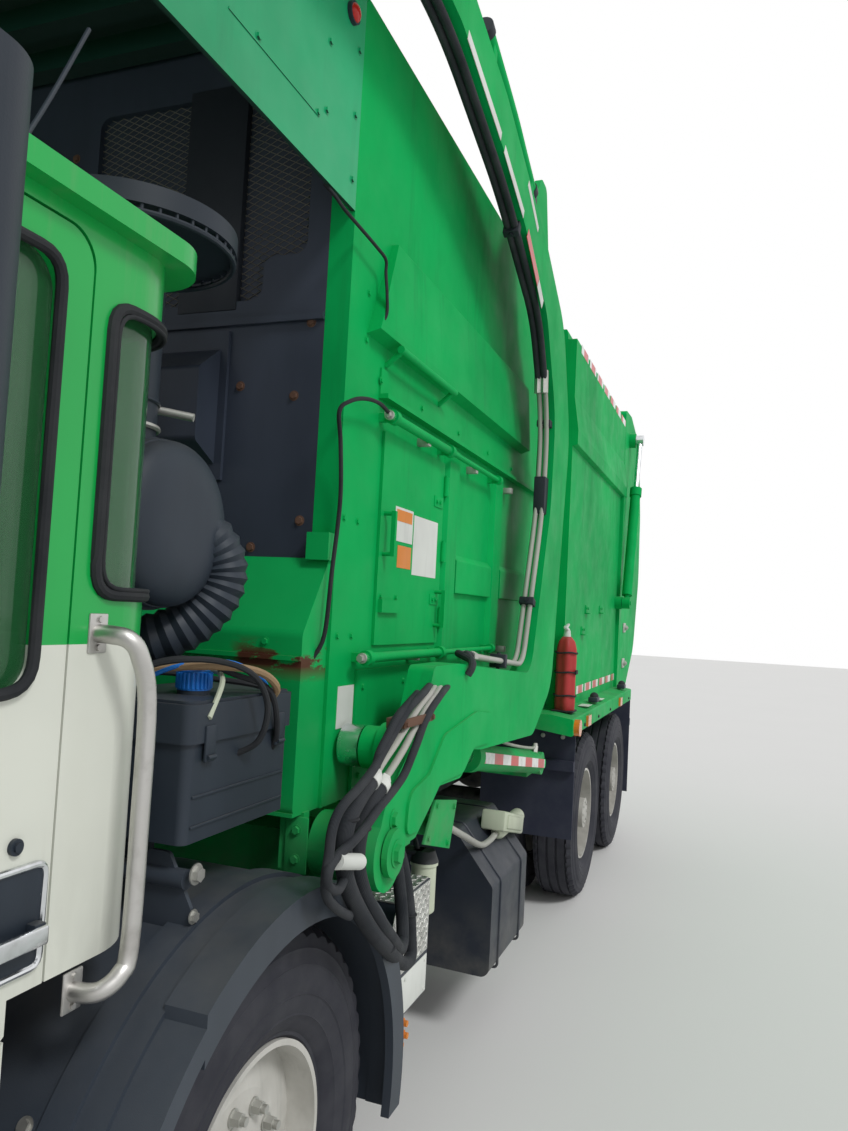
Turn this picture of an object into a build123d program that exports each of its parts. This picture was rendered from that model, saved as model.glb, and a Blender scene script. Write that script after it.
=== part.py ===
from build123d import *
import os
from math import cos, radians, sin

# Front-loader garbage truck, in mm.
# X runs forward, Y to the truck's left and Z up. The ground is Z = 0, and the origin lies under the
# middle of the whole length.

# Overall reach
FRONT_END = 4450
REAR_END = -4450
RUNNING_GAP = 5
SEAT_GAP = 0.3

# Wheels and axles
FRONT_AXLE_X = 2300
REAR_AXLE_X = (-1811, -3161)
FRONT_TYRE_RADIUS = 538
FRONT_TYRE_WIDTH = 315
REAR_TYRE_RADIUS = 525
REAR_TYRE_WIDTH = 280
RIM_RADIUS = 290
RIM_WALL = 14
FRONT_WHEEL_Y = 1050
REAR_OUTER_WHEEL_Y = 1060
DUAL_SPACING = 335
KINGPIN_Y = 850
KINGPIN_RADIUS = 44
ARCH_RADIUS = 620
ARCH_SHEET = 12
ARCH_RISE = 10
ARCH_LIP_RADIUS = 566
ARCH_Y = (800, 1262)
ARCH_LOW_Z = 420
ARCH_STEP_X = 2660
AXLE_TUBE_RADIUS = 75
HUB_RADIUS = 140

# Ladder frame
RAIL_HALF_WIDTH = 432
RAIL_FLANGE = 90
RAIL_WALL = 10
RAIL_DEPTH = 280
FRAME_TOP = 1000
FRAME_FRONT = 4250
FRAME_REAR = -4000
CROSSMEMBER_X = (FRAME_FRONT - 50, 3500, 2750, 2020, 1270, 470, -330, -1130, -1830, -2480, -3160, FRAME_REAR + 50)
CROSSMEMBER_DEPTH = 160
CROSSMEMBER_WIDTH = 80

TOW_EYE_X = 4380
TOW_EYE_Y = 380
TOW_EYE_Z = 430
TOW_EYE_RADIUS = 20
TOW_EYE_THICK = 24

# Cab
CAB_REAR = 2620
CAB_FRONT = 4340
CAB_HALF_WIDTH = 1100
CAB_FLOOR_Z = 1040
CAB_REAR_FLOOR_Z = 1180
CAB_ROOF_Z = 2470
CAB_WALL = 45
CAB_SILL_Z = 820
TUNNEL_HALF_WIDTH = 350
TUNNEL_X = (2700, 3560)
TUNNEL_TOP = 1450
CAB_SILL_REAR = 2960
CAB_SCREEN_TOP_X = 4180
BELT_Z = 1710
DOOR_REAR = 2890
DOOR_FRONT = 4090
DOOR_TOP = 2390
DOOR_LOW = 860
DOOR_GAP = 5
GLASS = 6
QUARTER_X = (CAB_REAR - 60, 2840)
QUARTER_Z = (1800, 2300)
QUARTER_IN_Y = 930
ROOF_SPLIT_Z = DOOR_TOP + DOOR_GAP + 20
ROOF_LIP = 35
ROOF_LIP_FRONT = 3950
FLOOR_TOP_Z = CAB_FLOOR_Z + CAB_WALL

# Equipment behind the cab
INTAKE_X = 2410
INTAKE_Y = 755
INTAKE_CAP_Z = 2640
INTAKE_CAP_RADIUS = 245
INTAKE_DRUM_Z = 1965
INTAKE_DRUM_RADIUS = 185
FLUID_BOX_X = (2140, 2540)
FLUID_BOX_Y = (830, 1100)
FLUID_BOX_Z = (1310, 1595)

# Refuse body
BODY_FLOOR_Z = 1380
FLOOR_SHEET = 40
HOPPER_FRONT = 1880
HOPPER_REAR = -480
HOPPER_HALF_WIDTH = 1070
HOPPER_TOP = 3540
HOPPER_SILL_Z = 1255
HOPPER_SILL_REAR_Z = 1345
HOPPER_WALL = 26
POST_WIDTH = 170
POST_DEPTH = 75
BODY_REAR = -3150
BODY_HALF_WIDTH = 1160
BODY_TOP = 3500
BODY_WALL = 40
SIDE_SILL_Z = 1280
BODY_LINK_Y = 1000
WIDE_BODY_FRONT = -930
BEARER_X = (1550, 900, 250, -400, -1150, -1900, -2480, BODY_REAR + 70)
ROOF_BOW_X = (-700, -1250, -1800, -2350, BODY_REAR + 250)
FENDER_Y = 1285
FENDER_X = (BODY_REAR, -640)
CANOPY_FRONT = 3350
CANOPY_LOW_Z = 2910
CANOPY_SHEET = 12
SCREEN_LOW_Z = 1930

# Hopper's left side
RIB_X = (955, 330)
RIB_WIDTH = 150
SHELF_REAR_X = (405, -200)
SHELF_FRONT_X = (885, 255)
LIFT_CLEAR_X = 1010
SERVICE_DOOR_X = (1075, 1570)
SERVICE_DOOR_Z = (1725, 2310)
SERVICE_DOOR_LAP = 35

# Lift arms
PIVOT_X = 1890
PIVOT_Z = 1170
ARM_IN = 1200
ARM_THICK = 80
ARM_PIVOT_RADIUS = 100
FORK_PIVOT_X = 3900
FORK_PIVOT_Z = 3800
FORK_BOSS_RADIUS = 100
CROSS_TUBE_X = 3400
CROSS_TUBE_Z = 3640
CROSS_TUBE_RADIUS = 80
PIN_RADIUS = 42

# Lift cylinders
LIFT_Y = 1115
LIFT_REAR = (-550, 1030)
LIFT_LEVER = (1776, 1415)
LIFT_BARREL_RADIUS = 55
LIFT_BARREL_LENGTH = 1290
LIFT_ROD_RADIUS = 30
EYE_RADIUS = 58

# Forks
FORK_IN = 940
FORK_THICK = 60
FORK_LENGTH = 1600
FORK_ROOT_DEPTH = 190
FORK_TIP_DEPTH = 90
FORK_TILT = 9
FORK_SHAFT_RADIUS = 70
CRANK = 305
CRANK_ANGLE = 142

# Fork cylinders
FORK_CYLINDER_Y = 1125
FORK_CYLINDER_REAR = (330, 3690)
FORK_BARREL_RADIUS = 45
FORK_BARREL_LENGTH = 1750
FORK_ROD_RADIUS = 25

# Tailgate
TAILGATE_HINGE = (BODY_REAR + 40, BODY_TOP + 60)
HINGE_EAR_Y = (700, 760)
HINGE_RADIUS = 45
HINGE_PIN_RADIUS = 20
TAILGATE_WALL = 40
TAILGATE_GAP = 10
TAILGATE_CYLINDER_Y = 1245
TAILGATE_CYLINDER_LOW = (BODY_REAR + 200, 1950)
TAILGATE_LUG = (BODY_REAR - 290, BODY_TOP - 150)
TAILGATE_BARREL_RADIUS = 40
TAILGATE_BARREL_LENGTH = 1020
TAILGATE_ROD_RADIUS = 22
TAILGATE_PIN_RADIUS = 18
PIN_PLAY = 0.5


# Helpers

def block(x, y, z):
    """Box between the (low, high) pairs x, y and z."""
    centre = Pos((x[0] + x[1]) / 2, (y[0] + y[1]) / 2, (z[0] + z[1]) / 2)
    return centre * Box(abs(x[1] - x[0]), abs(y[1] - y[0]), abs(z[1] - z[0]))


def outline(corners):
    """Closed face of straight edges whose corners (x, y, radius) are rounded by arcs."""
    count = len(corners)
    starts = []
    ends = []
    middles = []
    for i in range(count):
        px, py = corners[i - 1][:2]
        cx, cy, radius = corners[i]
        nx, ny = corners[(i + 1) % count][:2]
        back = Vector(px - cx, py - cy)
        ahead = Vector(nx - cx, ny - cy)
        back_unit = back.normalized()
        ahead_unit = ahead.normalized()
        half_turn = radians(back.get_angle(ahead)) / 2
        corner = Vector(cx, cy)
        if radius <= 0:
            starts.append(corner)
            ends.append(corner)
            middles.append(None)
            continue
        reach = radius * cos(half_turn) / sin(half_turn)
        starts.append(corner + back_unit * reach)
        ends.append(corner + ahead_unit * reach)
        bisector = (back_unit + ahead_unit).normalized()
        middles.append(corner + bisector * (radius / sin(half_turn) - radius))
    edges = []
    for i in range(count):
        if middles[i] is not None:
            edges.append(ThreePointArc(starts[i], middles[i], ends[i]))
        following = starts[(i + 1) % count]
        if (following - ends[i]).length > 0.01:
            edges.append(Line(ends[i], following))
    return make_face(Curve() + edges)


def side_profile(corners, y):
    """Outline given in X and Z, extruded between the (low, high) pair y."""
    face = Plane.XZ.offset(-y[0]) * outline(corners)
    return extrude(face, amount=-(y[1] - y[0]))


def cross_profile(corners, x):
    """Outline given in Y and Z, extruded between the (low, high) pair x."""
    face = Plane.YZ.offset(x[0]) * outline(corners)
    return extrude(face, amount=x[1] - x[0])


def plan_profile(corners, z):
    """Outline given in X and Y, extruded between the (low, high) pair z."""
    face = Plane.XY.offset(z[0]) * outline(corners)
    return extrude(face, amount=z[1] - z[0])


def cross_bar(x, z, radius, y):
    """Round bar along Y, centred on x, z, between the (low, high) pair y."""
    middle = Pos(x, (y[0] + y[1]) / 2, z)
    return middle * Rot(90, 0, 0) * Cylinder(radius, abs(y[1] - y[0]))


def round_bar(start, end, radius):
    """Round bar between two points."""
    axis = Vector(*end) - Vector(*start)
    return extrude(Plane(origin=start, z_dir=axis) * Circle(radius), amount=axis.length)


def both_sides(shape):
    """The shape on the left with its mirror image on the right, as separate solids."""
    return Compound(children=[shape, mirror(shape, about=Plane.XZ)])


def join(first, rest):
    """One solid of all the pieces."""
    whole = first
    for piece in rest:
        whole = whole + piece
    return whole


# Chassis

def make_frame():
    low = FRAME_TOP - RAIL_DEPTH
    outer = RAIL_HALF_WIDTH
    inner = RAIL_HALF_WIDTH - RAIL_FLANGE
    rail = block((FRAME_REAR, FRAME_FRONT), (inner, outer), (low, FRAME_TOP))
    hollow = block(
        (FRAME_REAR - 1, FRAME_FRONT + 1),
        (inner - 1, outer - RAIL_WALL),
        (low + RAIL_WALL, FRAME_TOP - RAIL_WALL),
    )
    rail = rail - hollow
    members = []
    middle_z = FRAME_TOP - RAIL_DEPTH / 2
    for x in CROSSMEMBER_X:
        members.append(block(
            (x - CROSSMEMBER_WIDTH / 2, x + CROSSMEMBER_WIDTH / 2),
            (-(outer - RAIL_WALL / 2), outer - RAIL_WALL / 2),
            (middle_z - CROSSMEMBER_DEPTH / 2, middle_z + CROSSMEMBER_DEPTH / 2),
        ))
    return join(rail, [mirror(rail, about=Plane.XZ)] + members)


def make_bumpers():
    half = 1120
    low = 480
    front = plan_profile([
        (FRONT_END, half - 180, 120), (FRONT_END, 180 - half, 120), (FRONT_END - 190, -half, 60),
        (FRAME_FRONT + SEAT_GAP, 180 - half, 0), (FRAME_FRONT + SEAT_GAP, half - 180, 0),
        (FRONT_END - 190, half, 60),
    ], (low, 800))
    for side in (1, -1):
        y = side * TOW_EYE_Y
        lug = side_profile([
            (TOW_EYE_X + 60, low + 1, 0), (TOW_EYE_X - 60, low + 1, 0),
            (TOW_EYE_X - 50, TOW_EYE_Z - 50, 45), (TOW_EYE_X + 50, TOW_EYE_Z - 50, 45),
        ], (y - TOW_EYE_THICK / 2, y + TOW_EYE_THICK / 2))
        front = front + (lug - cross_bar(TOW_EYE_X, TOW_EYE_Z, TOW_EYE_RADIUS, (y - 30, y + 30)))
    bar_x = FRAME_REAR
    bar = block((bar_x - 80, bar_x - SEAT_GAP), (-1000, 1000), (480, 600))
    for side in (1, -1):
        bar = bar + block((bar_x - 80, bar_x - SEAT_GAP), (side * 380 - 40, side * 380 + 40), (480, 940))
    return Compound(children=[front, bar])


def make_axles():
    pieces = []
    spring_y = (RAIL_HALF_WIDTH + 12, RAIL_HALF_WIDTH + 92)
    low = FRAME_TOP - RAIL_DEPTH
    centre = FRONT_TYRE_RADIUS
    beam_end = KINGPIN_Y - KINGPIN_RADIUS - SEAT_GAP
    beam = block((FRONT_AXLE_X - 50, FRONT_AXLE_X + 50), (-beam_end, beam_end), (centre - 110, centre - 20))
    for side in (1, -1):
        y_low, y_high = sorted((side * spring_y[0], side * spring_y[1]))
        leaf = side_profile([
            (FRONT_AXLE_X - 750, low + 60, 20), (FRONT_AXLE_X - 750, low + 10, 20),
            (FRONT_AXLE_X, centre - 75, 900), (FRONT_AXLE_X + 750, low + 10, 20),
            (FRONT_AXLE_X + 750, low + 60, 20), (FRONT_AXLE_X, centre + 35, 900),
        ], (y_low, y_high))
        beam = beam + leaf
        for x in (FRONT_AXLE_X - 730, FRONT_AXLE_X + 730):
            inner_y = side * (RAIL_HALF_WIDTH + SEAT_GAP)
            outer_y = side * spring_y[1]
            hanger = block((x - 40, x + 40), sorted((inner_y, outer_y)), (low + 20, FRAME_TOP - 60))
            beam = beam + hanger
        beam = beam + cross_bar(FRONT_AXLE_X, centre, 48, sorted((side * (KINGPIN_Y - 130), side * beam_end)))
    pieces.append(beam)
    rear_centre = REAR_TYRE_RADIUS
    tube_end = REAR_OUTER_WHEEL_Y - DUAL_SPACING / 2 - 100 - SEAT_GAP
    bogie = None
    for x in REAR_AXLE_X:
        tube = cross_bar(x, rear_centre, AXLE_TUBE_RADIUS, (-tube_end, tube_end))
        bowl = Pos(x, 0, rear_centre) * Sphere(200)
        drums = [cross_bar(x, rear_centre, 205, sorted((side * 610, side * 700))) for side in (1, -1)]
        axle = join(tube, [bowl, round_bar((x, 0, rear_centre), (x + 260, 0, rear_centre + 40), 70)] + drums)
        bogie = axle if bogie is None else bogie + axle
    middle = sum(REAR_AXLE_X) / 2
    for side in (1, -1):
        y_pair = sorted((side * spring_y[0], side * spring_y[1]))
        walking_beam = side_profile([
            (REAR_AXLE_X[0] + 110, rear_centre + 50, 40), (REAR_AXLE_X[0] + 110, rear_centre - 60, 40),
            (middle, rear_centre - 110, 200), (REAR_AXLE_X[1] - 110, rear_centre - 60, 40),
            (REAR_AXLE_X[1] - 110, rear_centre + 50, 40), (middle, rear_centre + 150, 200),
        ], y_pair)
        saddle_y = sorted((side * (RAIL_HALF_WIDTH + SEAT_GAP), side * spring_y[1]))
        saddle = side_profile([
            (middle - 160, FRAME_TOP - 40, 0), (middle - 80, rear_centre, 0),
            (middle + 80, rear_centre, 0), (middle + 160, FRAME_TOP - 40, 0),
        ], saddle_y)
        bogie = bogie + walking_beam + saddle
    pieces.append(bogie)
    return Compound(children=pieces)


def make_engine():
    half = TUNNEL_HALF_WIDTH - 45
    return block((TUNNEL_X[0] + 160, TUNNEL_X[1] - 100), (-half, half), (760, TUNNEL_TOP - 60))


def arch_band(radii, y_pair):
    """Ring about the front axle between the (inner, outer) radii, open below and ahead of the cab's sill."""
    middle = Pos(FRONT_AXLE_X, sum(y_pair) / 2, FRONT_TYRE_RADIUS) * Rot(90, 0, 0)
    width = y_pair[1] - y_pair[0]
    band = middle * Cylinder(radii[1], width) - middle * Cylinder(radii[0], width + 2)
    wide = (y_pair[0] - 1, y_pair[1] + 1)
    band = band - block((FRONT_AXLE_X - 900, FRONT_AXLE_X + 900), wide, (-400, ARCH_LOW_Z))
    return band - block((CAB_SILL_REAR - 20, FRONT_AXLE_X + 1100), wide, (-400, 2000))


def make_front_fenders():
    """Wheel arches with a raised outer band that steps down ahead, a deep lip, a stay and a bracket."""
    low, high = ARCH_Y
    sheet = ARCH_RADIUS + ARCH_SHEET
    crest = sheet + ARCH_RISE
    guard = arch_band((ARCH_RADIUS, sheet), (low, high - 90))
    ahead = block((ARCH_STEP_X, FRONT_AXLE_X + 1100), (low, high + 10), (0, 2000))
    raised = arch_band((ARCH_RADIUS - 4, crest), (high - 92, high))
    stepped = arch_band((ARCH_RADIUS - 16, sheet - ARCH_RISE), (high - 92, high))
    lip = arch_band((ARCH_LIP_RADIUS, ARCH_RADIUS + 2), (high - 24, high))
    narrow_lip = arch_band((ARCH_LIP_RADIUS + 14, ARCH_RADIUS - 14), (high - 24, high))
    ridge = arch_band((sheet - 4, crest), (high - 210, high - 150))
    guard = guard + ridge + (raised + lip - ahead) + ((stepped + narrow_lip) & ahead)
    stay_x = FRONT_AXLE_X - 500
    stay = round_bar((stay_x, RAIL_HALF_WIDTH + SEAT_GAP, 960), (stay_x, low + 15, 960), 20)
    bracket_x = FRONT_AXLE_X + 200
    bracket = cross_profile([
        (980, 1135, 0), (1110, 1135, 0), (1105, 1180, 15), (1045, 1285, 15), (990, 1285, 15),
    ], (bracket_x - 5, bracket_x + 5))
    knee = (bracket_x, 640, 1235)
    foot_y = RAIL_HALF_WIDTH + SEAT_GAP
    bar = block((bracket_x - 30, bracket_x + 30), (foot_y, foot_y + 40), (FRAME_TOP - 70, FRAME_TOP - 5))
    bar = bar + round_bar((bracket_x, foot_y + 34, FRAME_TOP - 30), knee, 20)
    bar = bar + Pos(*knee) * Sphere(20.5) + round_bar(knee, (bracket_x, 1090, 1235), 20)
    return both_sides(guard + stay + bracket + bar)


# Cab

def cab_outer(inset):
    """The cab's closed outer form, or the same form set in by a wall."""
    profile = [
        (CAB_REAR + inset, CAB_REAR_FLOOR_Z + inset, 0),
        (CAB_REAR + inset, CAB_ROOF_Z - inset, 90),
        (CAB_SCREEN_TOP_X - inset, CAB_ROOF_Z - inset, 120),
        (CAB_FRONT - inset, BELT_Z, 200),
        (CAB_FRONT - inset, CAB_SILL_Z, 0),
        (CAB_SILL_REAR + inset, CAB_SILL_Z, 0),
        (CAB_SILL_REAR + inset, CAB_REAR_FLOOR_Z + inset, 0),
    ]
    half = CAB_HALF_WIDTH - inset
    form = side_profile(profile, (-half, half))
    corner = 140
    rounding = plan_profile([
        (CAB_REAR + inset, -half, corner - inset), (CAB_FRONT - inset, -half, corner),
        (CAB_FRONT - inset, half, corner), (CAB_REAR + inset, half, corner - inset),
    ], (0, 4000))
    return form & rounding


def quarter_prism(inset):
    """Prism through both rear corners of the cab for the windows that wrap round them."""
    x_low, x_high = QUARTER_X
    z_low, z_high = QUARTER_Z
    reach = CAB_HALF_WIDTH + 50
    through = side_profile([
        (x_low, z_low + inset, 0), (x_high - inset, z_low + inset, 50),
        (x_high - inset, z_high - inset, 50), (x_low, z_high - inset, 0),
    ], (-reach, reach))
    middle = QUARTER_IN_Y + inset
    return through - block((x_low - 10, x_high + 10), (-middle, middle), (z_low - 10, z_high + 10))


def make_roof_lip():
    """Gutter lip along both sides of the roof, carried round its rear corners."""
    half = CAB_HALF_WIDTH + ROOF_LIP
    rear = CAB_REAR - ROOF_LIP
    slab = plan_profile([
        (rear, -half, 120), (ROOF_LIP_FRONT, -half, 30), (ROOF_LIP_FRONT + 60, 5 - CAB_HALF_WIDTH, 0),
        (ROOF_LIP_FRONT + 60, CAB_HALF_WIDTH - 5, 0), (ROOF_LIP_FRONT, half, 30), (rear, half, 120),
    ], (ROOF_SPLIT_Z + 5, CAB_ROOF_Z - 8))
    inner = CAB_HALF_WIDTH - CAB_WALL + 5
    return slab - block((CAB_REAR + CAB_WALL - 5, CAB_SCREEN_TOP_X), (-inner, inner), (0, 3000))


def door_window(inset):
    return side_profile([
        (DOOR_REAR + 70 + inset, BELT_Z - 60 + inset, 50), (DOOR_FRONT - 100 - inset, BELT_Z - 160 + inset, 50),
        (DOOR_FRONT - 100 - inset, BELT_Z + 150, 60), (DOOR_FRONT - 170 - inset, DOOR_TOP - 60 - inset, 60),
        (DOOR_REAR + 70 + inset, DOOR_TOP - 60 - inset, 60),
    ], (-CAB_HALF_WIDTH - 50, CAB_HALF_WIDTH + 50))


def door_prism(gap):
    """Prism of the left door's outline through the cab's left wall, widened by a gap."""
    return side_profile([
        (DOOR_REAR - gap, CAB_REAR_FLOOR_Z - gap, 0), (CAB_SILL_REAR + 10 - gap, CAB_REAR_FLOOR_Z - 60 - gap, 0),
        (CAB_SILL_REAR + 60 - gap, DOOR_LOW - gap, 20), (DOOR_FRONT + gap, DOOR_LOW - gap, 20),
        (DOOR_FRONT + gap, BELT_Z, 60), (DOOR_FRONT - 90 + gap, DOOR_TOP + gap, 60),
        (DOOR_REAR - gap, DOOR_TOP + gap, 60),
    ], (CAB_HALF_WIDTH - CAB_WALL - 1, CAB_HALF_WIDTH + 50))


def screen_prism(inset):
    """Prism through the front wall for the windscreen."""
    half = CAB_HALF_WIDTH - 110 - inset
    return cross_profile([
        (-half, BELT_Z - 190 + inset, 70), (half, BELT_Z - 190 + inset, 70),
        (half, CAB_ROOF_Z - 110 - inset, 70), (-half, CAB_ROOF_Z - 110 - inset, 70),
    ], (CAB_SCREEN_TOP_X - 200, CAB_FRONT + 100))


def rear_window_prism(inset):
    return cross_profile([
        (-430 + inset, 1800 + inset, 50), (430 - inset, 1800 + inset, 50),
        (430 - inset, 2280 - inset, 50), (-430 + inset, 2280 - inset, 50),
    ], (CAB_REAR - 100, CAB_REAR + 150))


def make_cab_floor():
    """Floor in two levels, with the opening of the engine tunnel."""
    half = CAB_HALF_WIDTH - CAB_WALL - SEAT_GAP
    front = CAB_FRONT - CAB_WALL - SEAT_GAP
    rear = CAB_REAR + CAB_WALL + SEAT_GAP
    step = CAB_SILL_REAR
    floor = side_profile([
        (rear, CAB_REAR_FLOOR_Z, 0), (step, CAB_REAR_FLOOR_Z, 0), (step, CAB_FLOOR_Z, 0), (front, CAB_FLOOR_Z, 0),
        (front, FLOOR_TOP_Z, 0), (step + CAB_WALL, FLOOR_TOP_Z, 0),
        (step + CAB_WALL, CAB_REAR_FLOOR_Z + CAB_WALL, 0), (rear, CAB_REAR_FLOOR_Z + CAB_WALL, 0),
    ], (-half, half))
    corner = 110
    rounding = plan_profile([
        (rear, -half, corner), (front, -half, corner), (front, half, corner), (rear, half, corner),
    ], (0, 2000))
    tunnel = block(
        (TUNNEL_X[0], TUNNEL_X[1]), (-TUNNEL_HALF_WIDTH, TUNNEL_HALF_WIDTH), (CAB_FLOOR_Z - 10, TUNNEL_TOP)
    )
    floor = (floor & rounding) - tunnel
    pads = []
    for side in (1, -1):
        y_pair = sorted((side * (TUNNEL_HALF_WIDTH + 5), side * RAIL_HALF_WIDTH))
        for x, high in ((2680, CAB_REAR_FLOOR_Z), (3660, CAB_FLOOR_Z), (4150, CAB_FLOOR_Z)):
            pads.append(block((x, x + 90), y_pair, (FRAME_TOP + SEAT_GAP, high + 1)))
    return join(floor, pads)


def make_cab():
    """Cab panels by name, cut from one shell so that they meet edge to edge."""
    inside = CAB_HALF_WIDTH - CAB_WALL
    below = block((CAB_REAR - 10, CAB_FRONT - CAB_WALL), (-inside, inside), (0, 1400))
    solid_shell = cab_outer(0) - cab_outer(CAB_WALL)
    shell = solid_shell - below
    door_cut = door_prism(DOOR_GAP)
    shell = shell - door_cut - mirror(door_cut, about=Plane.XZ)
    shell = shell - quarter_prism(0) - screen_prism(0) - rear_window_prism(0)
    wide = (-2000, 2000)
    roof_region = block((2000, 5000), wide, (ROOF_SPLIT_Z, 3000))
    roof = (shell & roof_region) + make_roof_lip()
    lower = shell - roof_region
    front = lower & block((3500, 5000), wide, (0, 3000))
    rear = lower & block((2000, 3500), wide, (0, 3000))
    skin = block((DOOR_REAR - 10, DOOR_FRONT + 10), (CAB_HALF_WIDTH - CAB_WALL, CAB_HALF_WIDTH + 10), (0, 3000))
    door = (solid_shell & door_prism(0) & skin) - door_window(0)
    return {"cab_roof": roof, "cab_front": front, "cab_rear": rear, "door_left": door}


def pane(inset_from_outside, prism):
    """Slice of the cab's skin, GLASS thick, that lies inside a window prism."""
    return (cab_outer(inset_from_outside) - cab_outer(inset_from_outside + GLASS)) & prism


def make_cab_glass():
    gap = SEAT_GAP
    screen = pane(15, screen_prism(gap))
    rear = pane(15, rear_window_prism(gap))
    quarters = pane(15, quarter_prism(gap))
    return Compound(children=list(screen.solids()) + list(rear.solids()) + list(quarters.solids()))


def make_cab_interior():
    pieces = []
    for side in (1, -1):
        y = side * 620
        cushion = block((3020, 3480), (y - 240, y + 240), (1480, 1600))
        back = side_profile([
            (3020, 1560, 30), (3120, 1560, 30), (3000, 2180, 40), (2900, 2180, 40),
        ], (y - 240, y + 240))
        base = block((3100, 3400), (y - 180, y + 180), (FLOOR_TOP_Z + SEAT_GAP, 1480))
        pieces.append(cushion + back + base)
    wall = 20
    hump = block(
        (TUNNEL_X[0] + SEAT_GAP, TUNNEL_X[1] - SEAT_GAP),
        (SEAT_GAP - TUNNEL_HALF_WIDTH, TUNNEL_HALF_WIDTH - SEAT_GAP), (CAB_FLOOR_Z + 5, TUNNEL_TOP)
    )
    hump = hump - block(
        (TUNNEL_X[0] + wall, TUNNEL_X[1] - wall), (wall - TUNNEL_HALF_WIDTH, TUNNEL_HALF_WIDTH - wall),
        (CAB_FLOOR_Z, TUNNEL_TOP - wall),
    )
    dash = side_profile([
        (4000, FLOOR_TOP_Z + SEAT_GAP, 0), (CAB_FRONT - CAB_WALL - 40, FLOOR_TOP_Z + SEAT_GAP, 0),
        (CAB_FRONT - CAB_WALL - 40, 1500, 30), (3880, 1500, 60), (3820, 1420, 40),
    ], (-CAB_HALF_WIDTH + 200, CAB_HALF_WIDTH - 200))
    column = round_bar((3980, 620, 1400), (3660, 620, 1640), 28)
    wheel = Plane(origin=(3660, 620, 1640), z_dir=(-320, 0, 240)) * Torus(215, 17)
    spokes = Plane(origin=(3660, 620, 1640), z_dir=(-320, 0, 240)) * (Box(420, 34, 18) + Box(34, 420, 18))
    pieces.append(hump)
    pieces.append(dash + column + wheel + spokes)
    return Compound(children=pieces)


def make_door_glass():
    return pane(15, door_window(SEAT_GAP)) & block((2000, 5000), (0, 2000), (0, 3000))


def make_mirror():
    """Mirror head on two tubes fixed to the left door."""
    head = plan_profile([(3420, 1330, 40), (3520, 1330, 30), (3540, 1540, 30), (3420, 1540, 60)], (1500, 2260))
    tubes = []
    for z in (1560, 2180):
        root_x = DOOR_FRONT - 45
        tubes.append(round_bar((root_x, CAB_HALF_WIDTH + 20, z), (3480, 1420, z), 16))
        tubes.append(cross_bar(root_x, z, 30, (CAB_HALF_WIDTH + SEAT_GAP, CAB_HALF_WIDTH + 34)))
    return join(head, tubes)


# Equipment behind the cab and beside the frame

def make_air_intake():
    """Rain cap on a stack, a round-ended drum and an outlet duct, on a post from the frame."""
    x = INTAKE_X
    y = INTAKE_Y
    cap = Pos(x, y, INTAKE_CAP_Z) * Cylinder(INTAKE_CAP_RADIUS, 44)
    crown = Pos(x, y, INTAKE_CAP_Z + 35) * Cylinder(INTAKE_CAP_RADIUS * 0.7, 40)
    stack = Pos(x, y, (INTAKE_CAP_Z + INTAKE_DRUM_Z) / 2) * Cylinder(88, INTAKE_CAP_Z - INTAKE_DRUM_Z)
    radius = INTAKE_DRUM_RADIUS
    drum = Pos(x, 0, INTAKE_DRUM_Z) * ring([
        (0, y - 120, 0), (radius, y - 120, 20), (radius, y + 315, 110), (radius - 120, y + 318, 60), (0, y + 318, 0),
    ], 0)
    band = Pos(x, 0, INTAKE_DRUM_Z) * ring([
        (radius - 10, y + 90, 0), (radius + 10, y + 90, 0), (radius + 10, y + 120, 0), (radius - 10, y + 120, 0),
    ], 0)
    outlet = round_bar((x, y, INTAKE_DRUM_Z), (x + 40, 560, 1640), 85)
    post_x = (x - 105, x - 45)
    post = block(post_x, (RAIL_HALF_WIDTH + SEAT_GAP, RAIL_HALF_WIDTH + 60), (FRAME_TOP - 120, INTAKE_DRUM_Z - 60))
    arm = block(post_x, (RAIL_HALF_WIDTH + 1, y), (INTAKE_DRUM_Z - 120, INTAKE_DRUM_Z - 60))
    return join(cap, [crown, stack, drum, band, outlet, post, arm])


def make_fluid_box():
    """Filler box with a lid band and a cap, on a shelf held out from the frame."""
    x_low, x_high = FLUID_BOX_X
    y_low, y_high = FLUID_BOX_Y
    z_low, z_high = FLUID_BOX_Z
    box = plan_profile([
        (x_low, y_low, 20), (x_high, y_low, 20), (x_high, y_high, 20), (x_low, y_high, 20),
    ], FLUID_BOX_Z)
    lid = plan_profile([
        (x_low - 8, y_low - 8, 24), (x_high + 8, y_low - 8, 24), (x_high + 8, y_high + 8, 24),
        (x_low - 8, y_high + 8, 24),
    ], (z_high - 85, z_high - 6))
    cap = Pos(x_high - 140, y_high - 95, z_high + 10) * Cylinder(35, 40)
    shelf = block((x_low + 10, x_high - 10), (y_low - 130, y_low + 70), (z_low - 14, z_low + 1))
    foot_x = (x_low + 60, x_low + 130)
    foot = block(foot_x, (y_low - 130, y_low - 50), (FRAME_TOP - 60, z_low - 10))
    arm = block(foot_x, (RAIL_HALF_WIDTH + SEAT_GAP, y_low - 129), (FRAME_TOP - 80, FRAME_TOP - 10))
    return join(box, [lid, cap, shelf, foot, arm])


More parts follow.
